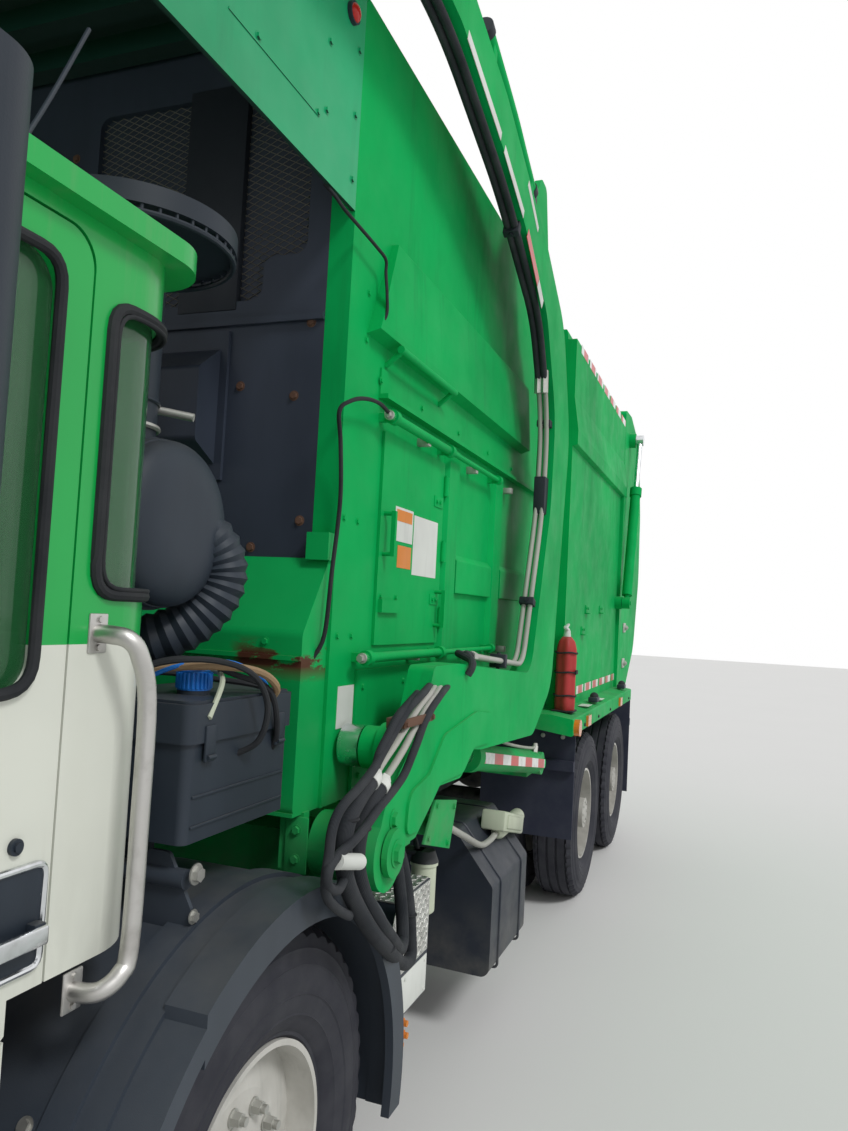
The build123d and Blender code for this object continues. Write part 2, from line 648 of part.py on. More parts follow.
def make_side_tanks():
    """Chamfered tank and tread-plate step box on the left, a round-edged fuel tank on the right."""
    inner = RAIL_HALF_WIDTH + 120
    strap_y = (RAIL_HALF_WIDTH + SEAT_GAP, inner + 5)
    tank = cross_profile([
        (inner, 870, 30), (inner, 290, 40), (1165, 275, 40), (1165, 650, 30), (985, 870, 30),
    ], (-200, 410))
    for x in (-60, 260):
        tank = tank + block((x - 40, x + 40), strap_y, (760, 860))
    step = side_profile([
        (1000, 440, 20), (1450, 440, 20), (1450, 600, 10), (1320, 840, 10), (1000, 840, 10),
    ], (inner, 1090))
    step = step + block((1160, 1240), strap_y, (760, 820))
    right = cross_profile([
        (-inner, 930, 90), (-inner, 330, 90), (-1165, 330, 90), (-1165, 930, 90),
    ], (0, 1300))
    for x in (250, 1050):
        right = right + block((x - 40, x + 40), (-strap_y[1], -strap_y[0]), (760, 900))
    return Compound(children=[tank, step, right])


# Refuse body

def make_body_floor():
    hopper_half = HOPPER_HALF_WIDTH - HOPPER_WALL - SEAT_GAP
    body_half = BODY_LINK_Y - SEAT_GAP
    split = HOPPER_REAR
    front = HOPPER_FRONT - POST_WIDTH - SEAT_GAP
    z_pair = (BODY_FLOOR_Z - FLOOR_SHEET, BODY_FLOOR_Z)
    floor = block((split, front), (-hopper_half, hopper_half), z_pair)
    floor = floor + block((BODY_REAR, split), (-body_half, body_half), z_pair)
    pieces = []
    for side in (1, -1):
        y_pair = sorted((side * (RAIL_HALF_WIDTH - 110), side * RAIL_HALF_WIDTH))
        pieces.append(block((BODY_REAR, front - 40), y_pair, (FRAME_TOP + SEAT_GAP, z_pair[0])))
    for x in BEARER_X:
        pieces.append(block((x - 50, x + 50), (-body_half, body_half), (z_pair[0] - 130, z_pair[0])))
    return join(floor, pieces)


def make_hopper_side():
    """Wall with its front post, sloping ledge, ribs, two side rods and a grab bar."""
    outer = HOPPER_HALF_WIDTH
    wall = side_profile([
        (HOPPER_FRONT, HOPPER_SILL_Z, 30), (HOPPER_FRONT, HOPPER_TOP, 30), (HOPPER_REAR, HOPPER_TOP, 0),
        (HOPPER_REAR, HOPPER_SILL_REAR_Z, 0), (LIFT_CLEAR_X, HOPPER_SILL_REAR_Z, 0), (LIFT_CLEAR_X, HOPPER_SILL_Z, 0),
    ], (outer - HOPPER_WALL, outer))
    post = block(
        (HOPPER_FRONT - POST_WIDTH, HOPPER_FRONT), (outer - POST_DEPTH, outer - 1), (HOPPER_SILL_Z, HOPPER_TOP)
    )
    ledge_rear, ledge_front = -100, HOPPER_FRONT - 100
    ledge = cross_profile([
        (outer - 1, 2925, 0), (outer + 24, 2925, 6), (outer + 42, 2635, 6), (outer + 42, 2615, 0),
        (outer - 1, 2600, 0),
    ], (ledge_rear, ledge_front))
    slant = side_profile([
        (ledge_front + 1, 2590, 0), (ledge_front + 1, 2940, 0), (ledge_front - 175, 2940, 0),
        (ledge_front - 15, 2590, 0),
    ], (outer, outer + 90))
    pieces = [post, ledge - slant]
    front_x = HOPPER_FRONT - POST_WIDTH - 60
    for x in RIB_X:
        pieces.append(cross_channel(x, RIB_WIDTH, outer, (1645, 2410)))
    long_x = (HOPPER_REAR + 40, front_x)
    pieces.append(block(long_x, (outer - 1, outer + 32), (2436, 2450)))
    pieces.append(block(long_x, (outer - 1, outer + 6), (2449, 2530)))
    for rear_x, ahead_x in zip(SHELF_REAR_X, SHELF_FRONT_X):
        pieces.append(cross_profile([
            (outer - 1, 2025, 0), (outer + 20, 2000, 8), (outer + 20, 1875, 4), (outer - 1, 1875, 0),
        ], (rear_x, ahead_x)))
    pieces.append(block((LIFT_CLEAR_X, HOPPER_FRONT - POST_WIDTH), (outer - 1, outer + 9), (HOPPER_SILL_Z, 1620)))
    for z, ahead_x in ((2380, 1660), (1658, 1760)):
        pieces.extend(side_rod((450, 1100, ahead_x), outer + 45, z))
    grab_y = outer + 55
    for x in (1120, 1610):
        pieces.append(round_bar((x, outer - 1, 2545), (x, grab_y, 2590), 9))
    pieces.append(round_bar((1105, grab_y, 2590), (1625, grab_y, 2590), 12))
    return join(wall, pieces)


def cross_channel(x, width, outer, z_pair):
    """Pressed upright rib on the hopper's wall, with sloping flanks."""
    half = width / 2
    return plan_profile([
        (x - half, outer - 1, 0), (x - half + 18, outer + 20, 6), (x + half - 18, outer + 20, 6),
        (x + half, outer - 1, 0),
    ], z_pair)


def side_rod(stations, y, z):
    """Linkage rod in two diameters between brackets at the (rear, middle, front) stations along X."""
    rear, middle, front = stations
    rod = [round_bar((rear, y, z), (middle, y, z), 10), round_bar((middle, y, z), (front, y, z), 15)]
    for x, radius in ((rear, 19), (middle, 22), (front - 30, 22)):
        rod.append(round_bar((x - 14, y, z), (x + 14, y, z), radius))
        rod.append(block((x - 10, x + 10), (HOPPER_HALF_WIDTH - 1, y), (z - 13, z + 13)))
    return rod


def make_service_opening():
    x_pair = (SERVICE_DOOR_X[0], SERVICE_DOOR_X[1])
    return block(x_pair, (HOPPER_HALF_WIDTH - 60, HOPPER_HALF_WIDTH + 30), SERVICE_DOOR_Z)


def make_hopper_door():
    """Flat door that lies on the left wall over its opening, stiffened inside, with two grips and a latch."""
    lap = SERVICE_DOOR_LAP
    inner = HOPPER_HALF_WIDTH + SEAT_GAP
    outer = inner + 9
    leaf = block(
        (SERVICE_DOOR_X[0] - lap, SERVICE_DOOR_X[1] + lap), (inner, outer),
        (SERVICE_DOOR_Z[0] - lap, SERVICE_DOOR_Z[1] + lap),
    )
    stiffener = block(
        (SERVICE_DOOR_X[0] + 20, SERVICE_DOOR_X[1] - 20),
        (HOPPER_HALF_WIDTH - 20, HOPPER_HALF_WIDTH + 2),
        (SERVICE_DOOR_Z[0] + 20, SERVICE_DOOR_Z[1] - 20),
    )
    pieces = [stiffener]
    for x, z_low, z_high in ((SERVICE_DOOR_X[1] + 5, 1970, 2095), (SERVICE_DOOR_X[0] + 5, 1752, 1872)):
        for z in (z_low, z_high):
            pieces.append(cross_bar(x, z, 7, (outer - 1, outer + 40)))
        pieces.append(block((x - 7, x + 7), (outer + 26, outer + 40), (z_low - 7, z_high + 7)))
    pieces.append(block(
        (SERVICE_DOOR_X[1] - 130, SERVICE_DOOR_X[1] + 20), (outer - 1, outer + 14), (1790, 1830)
    ))
    return join(leaf, pieces)


def make_hopper_front():
    """Lower front sheet, bulged forward over the sill, with a seam flange and corner brackets."""
    half = HOPPER_HALF_WIDTH - 10
    back = HOPPER_FRONT + SEAT_GAP
    bulge = side_profile([
        (back, HOPPER_SILL_Z, 0), (back, SCREEN_LOW_Z, 0), (back + 12, SCREEN_LOW_Z, 0), (back + 140, 1725, 40),
        (back + 140, HOPPER_SILL_Z, 25),
    ], (-half, half))
    hollow = side_profile([
        (back - 1, HOPPER_SILL_Z - 1, 0), (back - 1, SCREEN_LOW_Z - 12, 0), (back + 6, SCREEN_LOW_Z - 12, 0),
        (back + 132, 1720, 36), (back + 132, HOPPER_SILL_Z - 1, 0),
    ], (-half + 8, half - 8))
    flange = block((back + 20, back + 148), (-half, half), (1655, 1667))
    closing = block((back, back + 140), (-half, half), (HOPPER_SILL_Z, HOPPER_SILL_Z + 10))
    pieces = [flange, closing]
    for side in (1, -1):
        y_pair = sorted((side * (half - 60), side * (half + 8)))
        pieces.append(block((back, back + 40), y_pair, (1925, 2000)))
        pieces.append(block((back + 60, back + 90), y_pair, (1110, HOPPER_SILL_Z + 5)))
    return join(bulge - hollow, pieces)


def make_front_screen():
    """Black screen panel between the posts, with stepped mesh windows, a fold and a hatch recess."""
    half = HOPPER_HALF_WIDTH - POST_DEPTH - SEAT_GAP
    low = SCREEN_LOW_Z + SEAT_GAP
    high = HOPPER_TOP - CANOPY_SHEET - SEAT_GAP
    face = HOPPER_FRONT
    panel = block((face - 50, face), (-half, half), (low, high))
    pieces = []
    for side in (1, -1):
        corners = []
        for y, z, radius in ((150, 2680, 40), (785, 2680, 40), (785, 2805, 30), (925, 2805, 40),
                             (925, 3320, 40), (150, 3320, 40)):
            corners.append((side * y, z, radius))
        panel = panel - cross_profile(corners, (face - 60, face + 10))
        pieces.append(block((face - 28, face - 22), sorted((side * 145, side * 930)), (2675, 3325)))
    pieces.append(block((face - 1, face + 14), (-half, half), (2605, 2625)))
    rim = block((face - 1, face + 12), (400, 690), (2150, 2590))
    chest = side_profile([
        (face - 1, 2190, 0), (face + 110, 2250, 20), (face + 110, 2460, 20), (face - 1, 2545, 0),
    ], (430, 665))
    return join(panel, pieces + [rim, chest])


def make_canopy():
    half = HOPPER_HALF_WIDTH
    start = HOPPER_FRONT + SEAT_GAP
    top = block((start, CANOPY_FRONT), (-half, half), (HOPPER_TOP - CANOPY_SHEET, HOPPER_TOP))
    ribs = []
    for x in range(int(start) + 20, CANOPY_FRONT - 30, 180):
        ribs.append(block((x, x + 60), (-half + 5, half - 5), (HOPPER_TOP - 80, HOPPER_TOP - CANOPY_SHEET + 1)))
    for side in (1, -1):
        y_pair = sorted((side * (half - CANOPY_SHEET), side * half))
        ribs.append(side_profile([
            (start, CANOPY_LOW_Z, 0), (CANOPY_FRONT - 250, CANOPY_LOW_Z, 0), (CANOPY_FRONT, CANOPY_LOW_Z + 330, 0),
            (CANOPY_FRONT, HOPPER_TOP, 0), (start, HOPPER_TOP, 0),
        ], y_pair))
    return join(top, ribs)


def make_body_side():
    outer = BODY_HALF_WIDTH
    start = HOPPER_REAR - SEAT_GAP
    neck_y = (HOPPER_HALF_WIDTH - BODY_WALL, HOPPER_HALF_WIDTH)
    neck = block((WIDE_BODY_FRONT - 1, start), neck_y, (SIDE_SILL_Z, BODY_TOP))
    wall = block((BODY_REAR, WIDE_BODY_FRONT), (outer - BODY_WALL, outer), (SIDE_SILL_Z, BODY_TOP - 60))
    post = block((WIDE_BODY_FRONT - 60, WIDE_BODY_FRONT), (neck_y[0], outer), (SIDE_SILL_Z, BODY_TOP - 60))
    link = block((BODY_REAR, WIDE_BODY_FRONT), (BODY_LINK_Y, outer - 1), (SIDE_SILL_Z, BODY_FLOOR_Z))
    link = link + block((WIDE_BODY_FRONT - 1, start), (BODY_LINK_Y, neck_y[1] - 1), (SIDE_SILL_Z, BODY_FLOOR_Z))
    rail = cross_profile([
        (outer - 20, 2800, 0), (outer + 30, 2815, 6), (outer + 30, 2900, 20),
        (outer - 60, BODY_TOP, 10), (outer - 150, BODY_TOP, 0), (outer - 150, BODY_TOP - 60, 0), (outer - 20, 3300, 0),
    ], (BODY_REAR, WIDE_BODY_FRONT))
    end_post = block((BODY_REAR, BODY_REAR + 130), (outer - 1, outer + 25), (SIDE_SILL_Z, 2850))
    pin_x, pin_z = TAILGATE_CYLINDER_LOW
    seat = cross_bar(pin_x, pin_z, 50, (outer - 1, TAILGATE_CYLINDER_Y - 33))
    pin = cross_bar(pin_x, pin_z, TAILGATE_PIN_RADIUS, (outer, TAILGATE_CYLINDER_Y + 38))
    return join(wall, [neck, post, link, rail, end_post, seat, pin])


def make_body_roof():
    half = BODY_HALF_WIDTH - 150 - SEAT_GAP
    start = HOPPER_REAR - 2 * SEAT_GAP
    roof = block((BODY_REAR, start), (-half, half), (BODY_TOP - 50, BODY_TOP - 10))
    bows = []
    for x in ROOF_BOW_X:
        bows.append(block((x - 40, x + 40), (-half, half), (BODY_TOP - 10, BODY_TOP + 30)))
    hinge_x, hinge_z = TAILGATE_HINGE
    for side in (1, -1):
        y_pair = sorted((side * (HINGE_EAR_Y[1] + 5), side * (HINGE_EAR_Y[1] + 65)))
        bows.append(block((BODY_REAR, hinge_x + 40), y_pair, (BODY_TOP - 11, hinge_z)))
        bows.append(cross_bar(hinge_x, hinge_z, HINGE_RADIUS - 5, y_pair))
        pin_y = sorted((side * (HINGE_EAR_Y[0] - 12), side * (HINGE_EAR_Y[1] + 10)))
        bows.append(cross_bar(hinge_x, hinge_z, HINGE_PIN_RADIUS, pin_y))
    return join(roof, bows)


def make_rear_fenders():
    """Side shelves over the rear wheels, hung under the body sides."""
    inner = HOPPER_HALF_WIDTH - 20
    high = SIDE_SILL_Z - SEAT_GAP
    shelf = cross_profile([
        (inner, 1200, 0), (FENDER_Y, 1170, 10), (FENDER_Y, high - 18, 10),
        (BODY_HALF_WIDTH, high, 0), (inner, high, 0),
    ], FENDER_X)
    cut = cross_profile([
        (inner - 10, 1150, 0), (FENDER_Y - 10, 1120, 0), (FENDER_Y - 10, high - 35, 0), (inner - 10, high - 20, 0),
    ], (FENDER_X[0] + 10, FENDER_X[1] - 10))
    return both_sides(shelf - cut)


def make_mud_flaps():
    """Flaps ahead of and behind the rear wheels, each hung from a bar on the frame."""
    flaps = []
    ahead = REAR_AXLE_X[0] + REAR_TYRE_RADIUS + 126
    behind = REAR_AXLE_X[1] - REAR_TYRE_RADIUS - 74
    for x, bar_x, low in ((ahead, ahead + 12, 500), (behind, behind - 30, 330)):
        flap = block((x, x + 12), (640, 1210), (low, 1150))
        hanger = block((bar_x, bar_x + 30), (RAIL_HALF_WIDTH + SEAT_GAP, 1210), (900, 960))
        flaps.extend(both_sides(flap + hanger).solids())
    return Compound(children=flaps)


def make_lamps():
    pieces = []
    for side in (1, -1):
        y = side * 900
        rear_x = FRAME_REAR - 80
        pieces.append(block((rear_x - 30, rear_x - SEAT_GAP), (y - 90, y + 90), (490, 590)))
        shelf_y = side * (FENDER_Y + SEAT_GAP)
        for x in (-1100, -2480):
            pieces.append(block((x - 50, x + 50), sorted((shelf_y, shelf_y + side * 14)), (1185, 1245)))
        pieces.append(cross_bar(FENDER_X[1] - 60, 1215, 45, sorted((shelf_y, shelf_y + side * 30))))
        head_y = side * 840
        pieces.append(block((CAB_FRONT + SEAT_GAP, CAB_FRONT + 40), (head_y - 150, head_y + 150), (860, 1040)))
    return Compound(children=pieces)


def make_arm_mounts():
    low = 1020
    high = 1160
    beam = block((1620, 1800), (RAIL_HALF_WIDTH + SEAT_GAP, 1165), (low, high))
    beam = beam + block((1640, 1780), (RAIL_HALF_WIDTH + SEAT_GAP, RAIL_HALF_WIDTH + 20), (780, high))
    plate = side_profile([
        (1640, low, 0), (1800, low, 0), (PIVOT_X + 40, PIVOT_Z - 80, 0), (PIVOT_X + 60, PIVOT_Z + 40, 30),
        (PIVOT_X - 40, PIVOT_Z + 80, 30), (1640, high, 0),
    ], (1085, 1165))
    boss = cross_bar(PIVOT_X, PIVOT_Z, 85, (1085, ARM_IN - 8))
    pin = cross_bar(PIVOT_X, PIVOT_Z, PIN_RADIUS, (1100, ARM_IN + ARM_THICK + 20))
    cap = cross_bar(PIVOT_X, PIVOT_Z, 62, (ARM_IN + ARM_THICK + 4, ARM_IN + ARM_THICK + 20))
    front = beam + plate + boss + pin + cap
    lug_x, lug_z = LIFT_REAR
    strut = block((lug_x - 60, lug_x + 60), (RAIL_HALF_WIDTH + SEAT_GAP, LIFT_Y - 36), (lug_z - 70, lug_z + 55))
    strut = strut + cross_bar(lug_x, lug_z, 24, (LIFT_Y - 40, LIFT_Y + 45))
    return Compound(children=list(both_sides(front).solids()) + list(both_sides(strut).solids()))


# Packer

def make_packer_blade():
    half_post = HOPPER_HALF_WIDTH - POST_DEPTH - 10
    rear = HOPPER_FRONT - 450
    front = HOPPER_FRONT - 130
    low = BODY_FLOOR_Z + RUNNING_GAP
    form = side_profile([
        (rear, low, 0), (rear, 2180, 60), (rear + 100, 2300, 60), (front, 2300, 0), (front, low, 0),
    ], (-half_post, half_post))
    shoes = []
    for side in (1, -1):
        y_pair = sorted((side * 400, side * 520))
        shoes.append(block((rear + 5, front - 5), y_pair, (BODY_FLOOR_Z + SEAT_GAP, low + 1)))
    return join(form, shoes)


# Lift arms, forks and their cylinders

def arm_outline():
    """Corners (x, z, radius) of an arm's plate: under the root, up the rear, along the top and back."""
    return [
        (PIVOT_X - 5, PIVOT_Z - 85, 0), (PIVOT_X - 60, PIVOT_Z - 5, 0), (1700, 1165, 40), (1590, 1228, 30),
        (1520, 1278, 30), (1300, 1268, 60), (1190, 1345, 60), (1080, 1330, 60), (290, 1290, 150),
        (-50, 1480, 200), (-110, 1910, 300), (-230, 2700, 450), (10, 3190, 350), (420, 3400, 400),
        (1150, 3650, 400), (1900, 3800, 400),
        (FORK_PIVOT_X, FORK_PIVOT_Z + 95, 0), (FORK_PIVOT_X, FORK_PIVOT_Z - 95, 0), (2900, 3590, 300),
        (1650, 3570, 300), (1000, 3400, 300), (380, 3130, 250), (110, 2720, 400), (130, 2300, 400),
        (380, 1560, 120), (1380, 1640, 80), (1610, 1640, 30), (1685, 1475, 60), (1840, 1375, 40),
        (1930, 1300, 40), (1980, 1190, 0),
    ]


def make_arm():
    y_pair = (ARM_IN, ARM_IN + ARM_THICK)
    plate = side_profile(arm_outline(), y_pair)
    plate = plate + cross_bar(PIVOT_X, PIVOT_Z, ARM_PIVOT_RADIUS, y_pair)
    plate = plate + cross_bar(FORK_PIVOT_X, FORK_PIVOT_Z, FORK_BOSS_RADIUS, y_pair)
    plate = plate + cross_bar(LIFT_LEVER[0], LIFT_LEVER[1], 60, (LIFT_Y + 35, ARM_IN + 1))
    plate = plate + cross_bar(LIFT_LEVER[0], LIFT_LEVER[1], 72, (ARM_IN, ARM_IN + 34))
    doubler = side_profile([
        (960, 1400, 30), (1000, 1345, 30), (1190, 1352, 60), (1300, 1285, 50), (1520, 1290, 30),
        (1600, 1240, 30), (1700, 1185, 30), (1790, 1190, 30), (1780, 1300, 60), (1622, 1330, 60),
        (1500, 1430, 80), (1180, 1470, 80), (990, 1450, 30),
    ], (ARM_IN + ARM_THICK - 1, ARM_IN + ARM_THICK + 8))
    plate = plate + doubler
    lug_x, lug_z = FORK_CYLINDER_REAR
    lug = side_profile([
        (lug_x - 200, lug_z - 420, 0), (lug_x + 320, lug_z - 290, 0), (lug_x + 50, lug_z + 45, 40),
        (lug_x - 50, lug_z + 45, 40),
    ], (ARM_IN, ARM_IN + 30))
    plate = plate + lug + cross_bar(lug_x, lug_z, 20, (FORK_CYLINDER_Y - 36, ARM_IN + 1))
    bore = cross_bar(PIVOT_X, PIVOT_Z, PIN_RADIUS + 0.5, (ARM_IN - 30, ARM_IN + ARM_THICK + 5))
    fork_bore = cross_bar(FORK_PIVOT_X, FORK_PIVOT_Z, PIN_RADIUS + 0.5, (ARM_IN - 30, ARM_IN + ARM_THICK + 5))
    return plate - bore - fork_bore


def make_arm_cross_tube():
    return cross_bar(CROSS_TUBE_X, CROSS_TUBE_Z, CROSS_TUBE_RADIUS, (-ARM_IN + SEAT_GAP, ARM_IN - SEAT_GAP))


def make_forks():
    turn = radians(180 - FORK_TILT)
    shaft = cross_bar(FORK_PIVOT_X, FORK_PIVOT_Z, FORK_SHAFT_RADIUS, (-ARM_IN + 6, ARM_IN - 6))
    pins = cross_bar(FORK_PIVOT_X, FORK_PIVOT_Z, PIN_RADIUS, (-ARM_IN - ARM_THICK - 8, ARM_IN + ARM_THICK + 8))
    whole = shaft + pins
    along = (cos(turn), sin(turn))
    up = (-sin(turn), cos(turn))
    for side in (1, -1):
        y_pair = sorted((side * FORK_IN, side * (FORK_IN + FORK_THICK)))
        shape = [
            (-60, -FORK_ROOT_DEPTH / 2, 60), (500, -FORK_ROOT_DEPTH / 2, 200), (FORK_LENGTH, -FORK_TIP_DEPTH / 2, 30),
            (FORK_LENGTH, FORK_TIP_DEPTH / 2, 30), (500, FORK_ROOT_DEPTH / 2, 200), (-60, FORK_ROOT_DEPTH / 2, 60),
        ]
        corners = []
        for reach, rise, radius in shape:
            x = FORK_PIVOT_X + along[0] * reach + up[0] * rise
            z = FORK_PIVOT_Z + along[1] * reach + up[1] * rise
            corners.append((x, z, radius))
        whole = whole + side_profile(corners, y_pair)
        crank_x = FORK_PIVOT_X + CRANK * cos(radians(CRANK_ANGLE))
        crank_z = FORK_PIVOT_Z + CRANK * sin(radians(CRANK_ANGLE))
        inside = sorted((side * (FORK_CYLINDER_Y - 80), side * (FORK_CYLINDER_Y - 45)))
        crank = side_profile([
            (FORK_PIVOT_X - 70, FORK_PIVOT_Z - 60, 0), (FORK_PIVOT_X + 60, FORK_PIVOT_Z - 40, 0),
            (FORK_PIVOT_X + 40, FORK_PIVOT_Z + 70, 0), (crank_x + 45, crank_z + 45, 40),
            (crank_x - 50, crank_z + 35, 40), (crank_x - 45, crank_z - 50, 40),
        ], inside)
        stub = sorted((side * (FORK_CYLINDER_Y - 46), side * (FORK_CYLINDER_Y - 33)))
        whole = whole + crank + cross_bar(crank_x, crank_z, 30, stub)
    return whole


def cylinder_barrel(start, end, y, radius, length, eye, collar):
    """Barrel with a rear eye and a gland collar, from the pin at start towards end."""
    axis = Vector(end[0] - start[0], 0, end[1] - start[1]).normalized()
    base = Vector(start[0], y, start[1])
    tube = round_bar(tuple(base + axis * (eye + 20)), tuple(base + axis * length), radius)
    tube = tube + round_bar(tuple(base), tuple(base + axis * (eye + 30)), radius * 0.5)
    gland = round_bar(tuple(base + axis * (length - 70)), tuple(base + axis * length), radius + collar)
    ear = cross_bar(start[0], start[1], eye, (y - 30, y + 30))
    return tube + gland + ear


def cylinder_rod(start, end, y, radius, hidden, eye):
    """Rod with its eye at the pin at end, reaching back into the barrel to the hidden distance."""
    axis = Vector(end[0] - start[0], 0, end[1] - start[1]).normalized()
    tail = Vector(start[0], y, start[1]) + axis * hidden
    tip = Vector(end[0], y, end[1])
    rod = round_bar(tuple(tail), tuple(tip - axis * (eye * 0.6)), radius)
    return rod + cross_bar(end[0], end[1], eye, (y - 30, y + 30))


def cylinder_bore(start, end, y, reach, radius):
    """Bore of a barrel between two distances from the pin at start towards end."""
    axis = Vector(end[0] - start[0], 0, end[1] - start[1]).normalized()
    base = Vector(start[0], y, start[1])
    return round_bar(tuple(base + axis * reach[0]), tuple(base + axis * reach[1]), radius)


def make_lift_cylinder():
    length = LIFT_BARREL_LENGTH
    barrel = cylinder_barrel(LIFT_REAR, LIFT_LEVER, LIFT_Y, LIFT_BARREL_RADIUS, length, EYE_RADIUS, 8)
    rod = cylinder_rod(LIFT_REAR, LIFT_LEVER, LIFT_Y, LIFT_ROD_RADIUS, 900, EYE_RADIUS)
    bore = cylinder_bore(LIFT_REAR, LIFT_LEVER, LIFT_Y, (400, length + 5), LIFT_ROD_RADIUS + PIN_PLAY)
    pin = cross_bar(LIFT_REAR[0], LIFT_REAR[1], 24 + PIN_PLAY, (LIFT_Y - 40, LIFT_Y + 50))
    return both_sides(barrel - bore - pin), both_sides(rod)


def fork_crank_pin():
    x = FORK_PIVOT_X + CRANK * cos(radians(CRANK_ANGLE))
    z = FORK_PIVOT_Z + CRANK * sin(radians(CRANK_ANGLE))
    return (x, z)


def make_fork_cylinder():
    end = fork_crank_pin()
    start = FORK_CYLINDER_REAR
    y = FORK_CYLINDER_Y
    barrel = cylinder_barrel(start, end, y, FORK_BARREL_RADIUS, FORK_BARREL_LENGTH, 50, 3)
    rod = cylinder_rod(start, end, y, FORK_ROD_RADIUS, 600, 50)
    bore = cylinder_bore(start, end, y, (300, FORK_BARREL_LENGTH + 5), FORK_ROD_RADIUS + PIN_PLAY)
    pin = cross_bar(start[0], start[1], 20 + PIN_PLAY, (y - 40, y + 45))
    return both_sides(barrel - bore - pin), both_sides(rod)


def tailgate_corners(inner):
    """Corners of the tailgate's outside, or of its hollow, from shares of its depth behind the body."""
    front = BODY_REAR - TAILGATE_GAP
    depth = BODY_REAR - REAR_END
    top = BODY_TOP + 50
    wall = TAILGATE_WALL
    if inner:
        corners = [(front + 5, 1200 + 60, 0), (front + 5, top - wall, 0)]
    else:
        corners = [(front, 1200, 0), (front, top, 40)]
    for share, z, radius, in_x, in_z, in_radius in (
        (0.269, top + 20, 80, 10, -wall, 80),
        (0.746, BODY_TOP - 70, 250, 30, -30, 220),
        (0.962, BODY_TOP - 700, 400, wall, -20, 380),
        (1.0, 2200, 500, wall, 0, 460),
        (0.831, 1560, 300, 30, 30, 260),
        (0.4615, 1240, 250, 10, wall + 20, 230),
    ):
        x = BODY_REAR - share * depth
        corners.append((x + in_x, z + in_z, in_radius) if inner else (x, z, radius))
    return corners


def make_tailgate():
    """Hollow door shell with ribs on its back, two hinge ears above and the cylinders' lugs."""
    front = BODY_REAR - TAILGATE_GAP
    top = BODY_TOP + 50
    half = BODY_HALF_WIDTH
    wall = TAILGATE_WALL
    shell = side_profile(tailgate_corners(False), (-half, half))
    shell = shell - side_profile(tailgate_corners(True), (-half + wall, half - wall))
    for y in (-(half - 60), 60 - half + 560, half - 620, half - 60):
        rib = side_profile([
            (REAR_END + 120, 1900, 0), (REAR_END + 1, 1980, 30), (REAR_END + 1, 2400, 30),
            (REAR_END + 160, 2700, 0),
        ], (y - 30, y + 30))
        shell = shell + rib
    hinge_x, hinge_z = TAILGATE_HINGE
    for side in (1, -1):
        y_pair = sorted((side * HINGE_EAR_Y[0], side * HINGE_EAR_Y[1]))
        ear = side_profile([
            (hinge_x, hinge_z - HINGE_RADIUS + 2, 0), (front - 30, hinge_z - 60, 0), (front - 30, top - 1, 0),
            (hinge_x, hinge_z + HINGE_RADIUS - 2, 0),
        ], y_pair)
        ear = ear + cross_bar(hinge_x, hinge_z, HINGE_RADIUS, y_pair)
        bore = cross_bar(hinge_x, hinge_z, HINGE_PIN_RADIUS + PIN_PLAY, (y_pair[0] - 5, y_pair[1] + 5))
        shell = shell + (ear - bore)
        lug_y = sorted((side * (half - 1), side * (TAILGATE_CYLINDER_Y - 33)))
        shell = shell + cross_bar(TAILGATE_LUG[0], TAILGATE_LUG[1], 60, lug_y)
    return shell


def make_tailgate_cylinder():
    start = TAILGATE_CYLINDER_LOW
    end = TAILGATE_LUG
    y = TAILGATE_CYLINDER_Y
    barrel = cylinder_barrel(start, end, y, TAILGATE_BARREL_RADIUS, TAILGATE_BARREL_LENGTH, 45, 8)
    rod = cylinder_rod(start, end, y, TAILGATE_ROD_RADIUS, 400, 45)
    bore = cylinder_bore(start, end, y, (200, TAILGATE_BARREL_LENGTH + 5), TAILGATE_ROD_RADIUS + PIN_PLAY)
    pin = cross_bar(start[0], start[1], TAILGATE_PIN_RADIUS + PIN_PLAY, (y - 40, y + 45))
    return both_sides(barrel - bore - pin), both_sides(rod)


# Wheels

def ring(profile, y):
    """Solid of revolution about a wheel's axle, from (radius, offset along Y, corner radius) points."""
    corners = [(radius, offset, corner) for radius, offset, corner in profile]
    face = outline(corners)
    return Pos(0, y, 0) * Rot(-90, 0, 0) * revolve(Plane.XZ * face, Axis.Z)


def tyre_solid(radius, width):
    half = width / 2
    bead = RIM_RADIUS + SEAT_GAP
    return ring([
        (bead, half - 40, 12), (bead + 60, half - 6, 40), (radius - 120, half, 60), (radius - 20, half - 20, 18),
        (radius, half - 50, 10), (radius, -half + 50, 10), (radius - 20, -half + 20, 18),
        (radius - 120, -half, 60), (bead + 60, -half + 6, 40), (bead, -half + 40, 12),
    ], 0)


def rim_solid(width, dish):
    """Rim with its dished disc at an offset along Y."""
    half = width / 2 - 34
    band = ring([
        (RIM_RADIUS, half, 0), (RIM_RADIUS, -half, 0), (RIM_RADIUS - RIM_WALL, -half, 0),
        (RIM_RADIUS - RIM_WALL, half, 0),
    ], 0)
    disc = ring([
        (RIM_RADIUS - RIM_WALL + 2, dish - 30, 0), (RIM_RADIUS - RIM_WALL + 2, dish - 15, 0),
        (180, dish + 8, 0), (60, dish + 8, 0), (60, dish - 8, 0), (180, dish - 8, 0),
    ], 0)
    return band + disc


def wheel_at(shape, x, y, z):
    return Pos(x, y, z) * shape


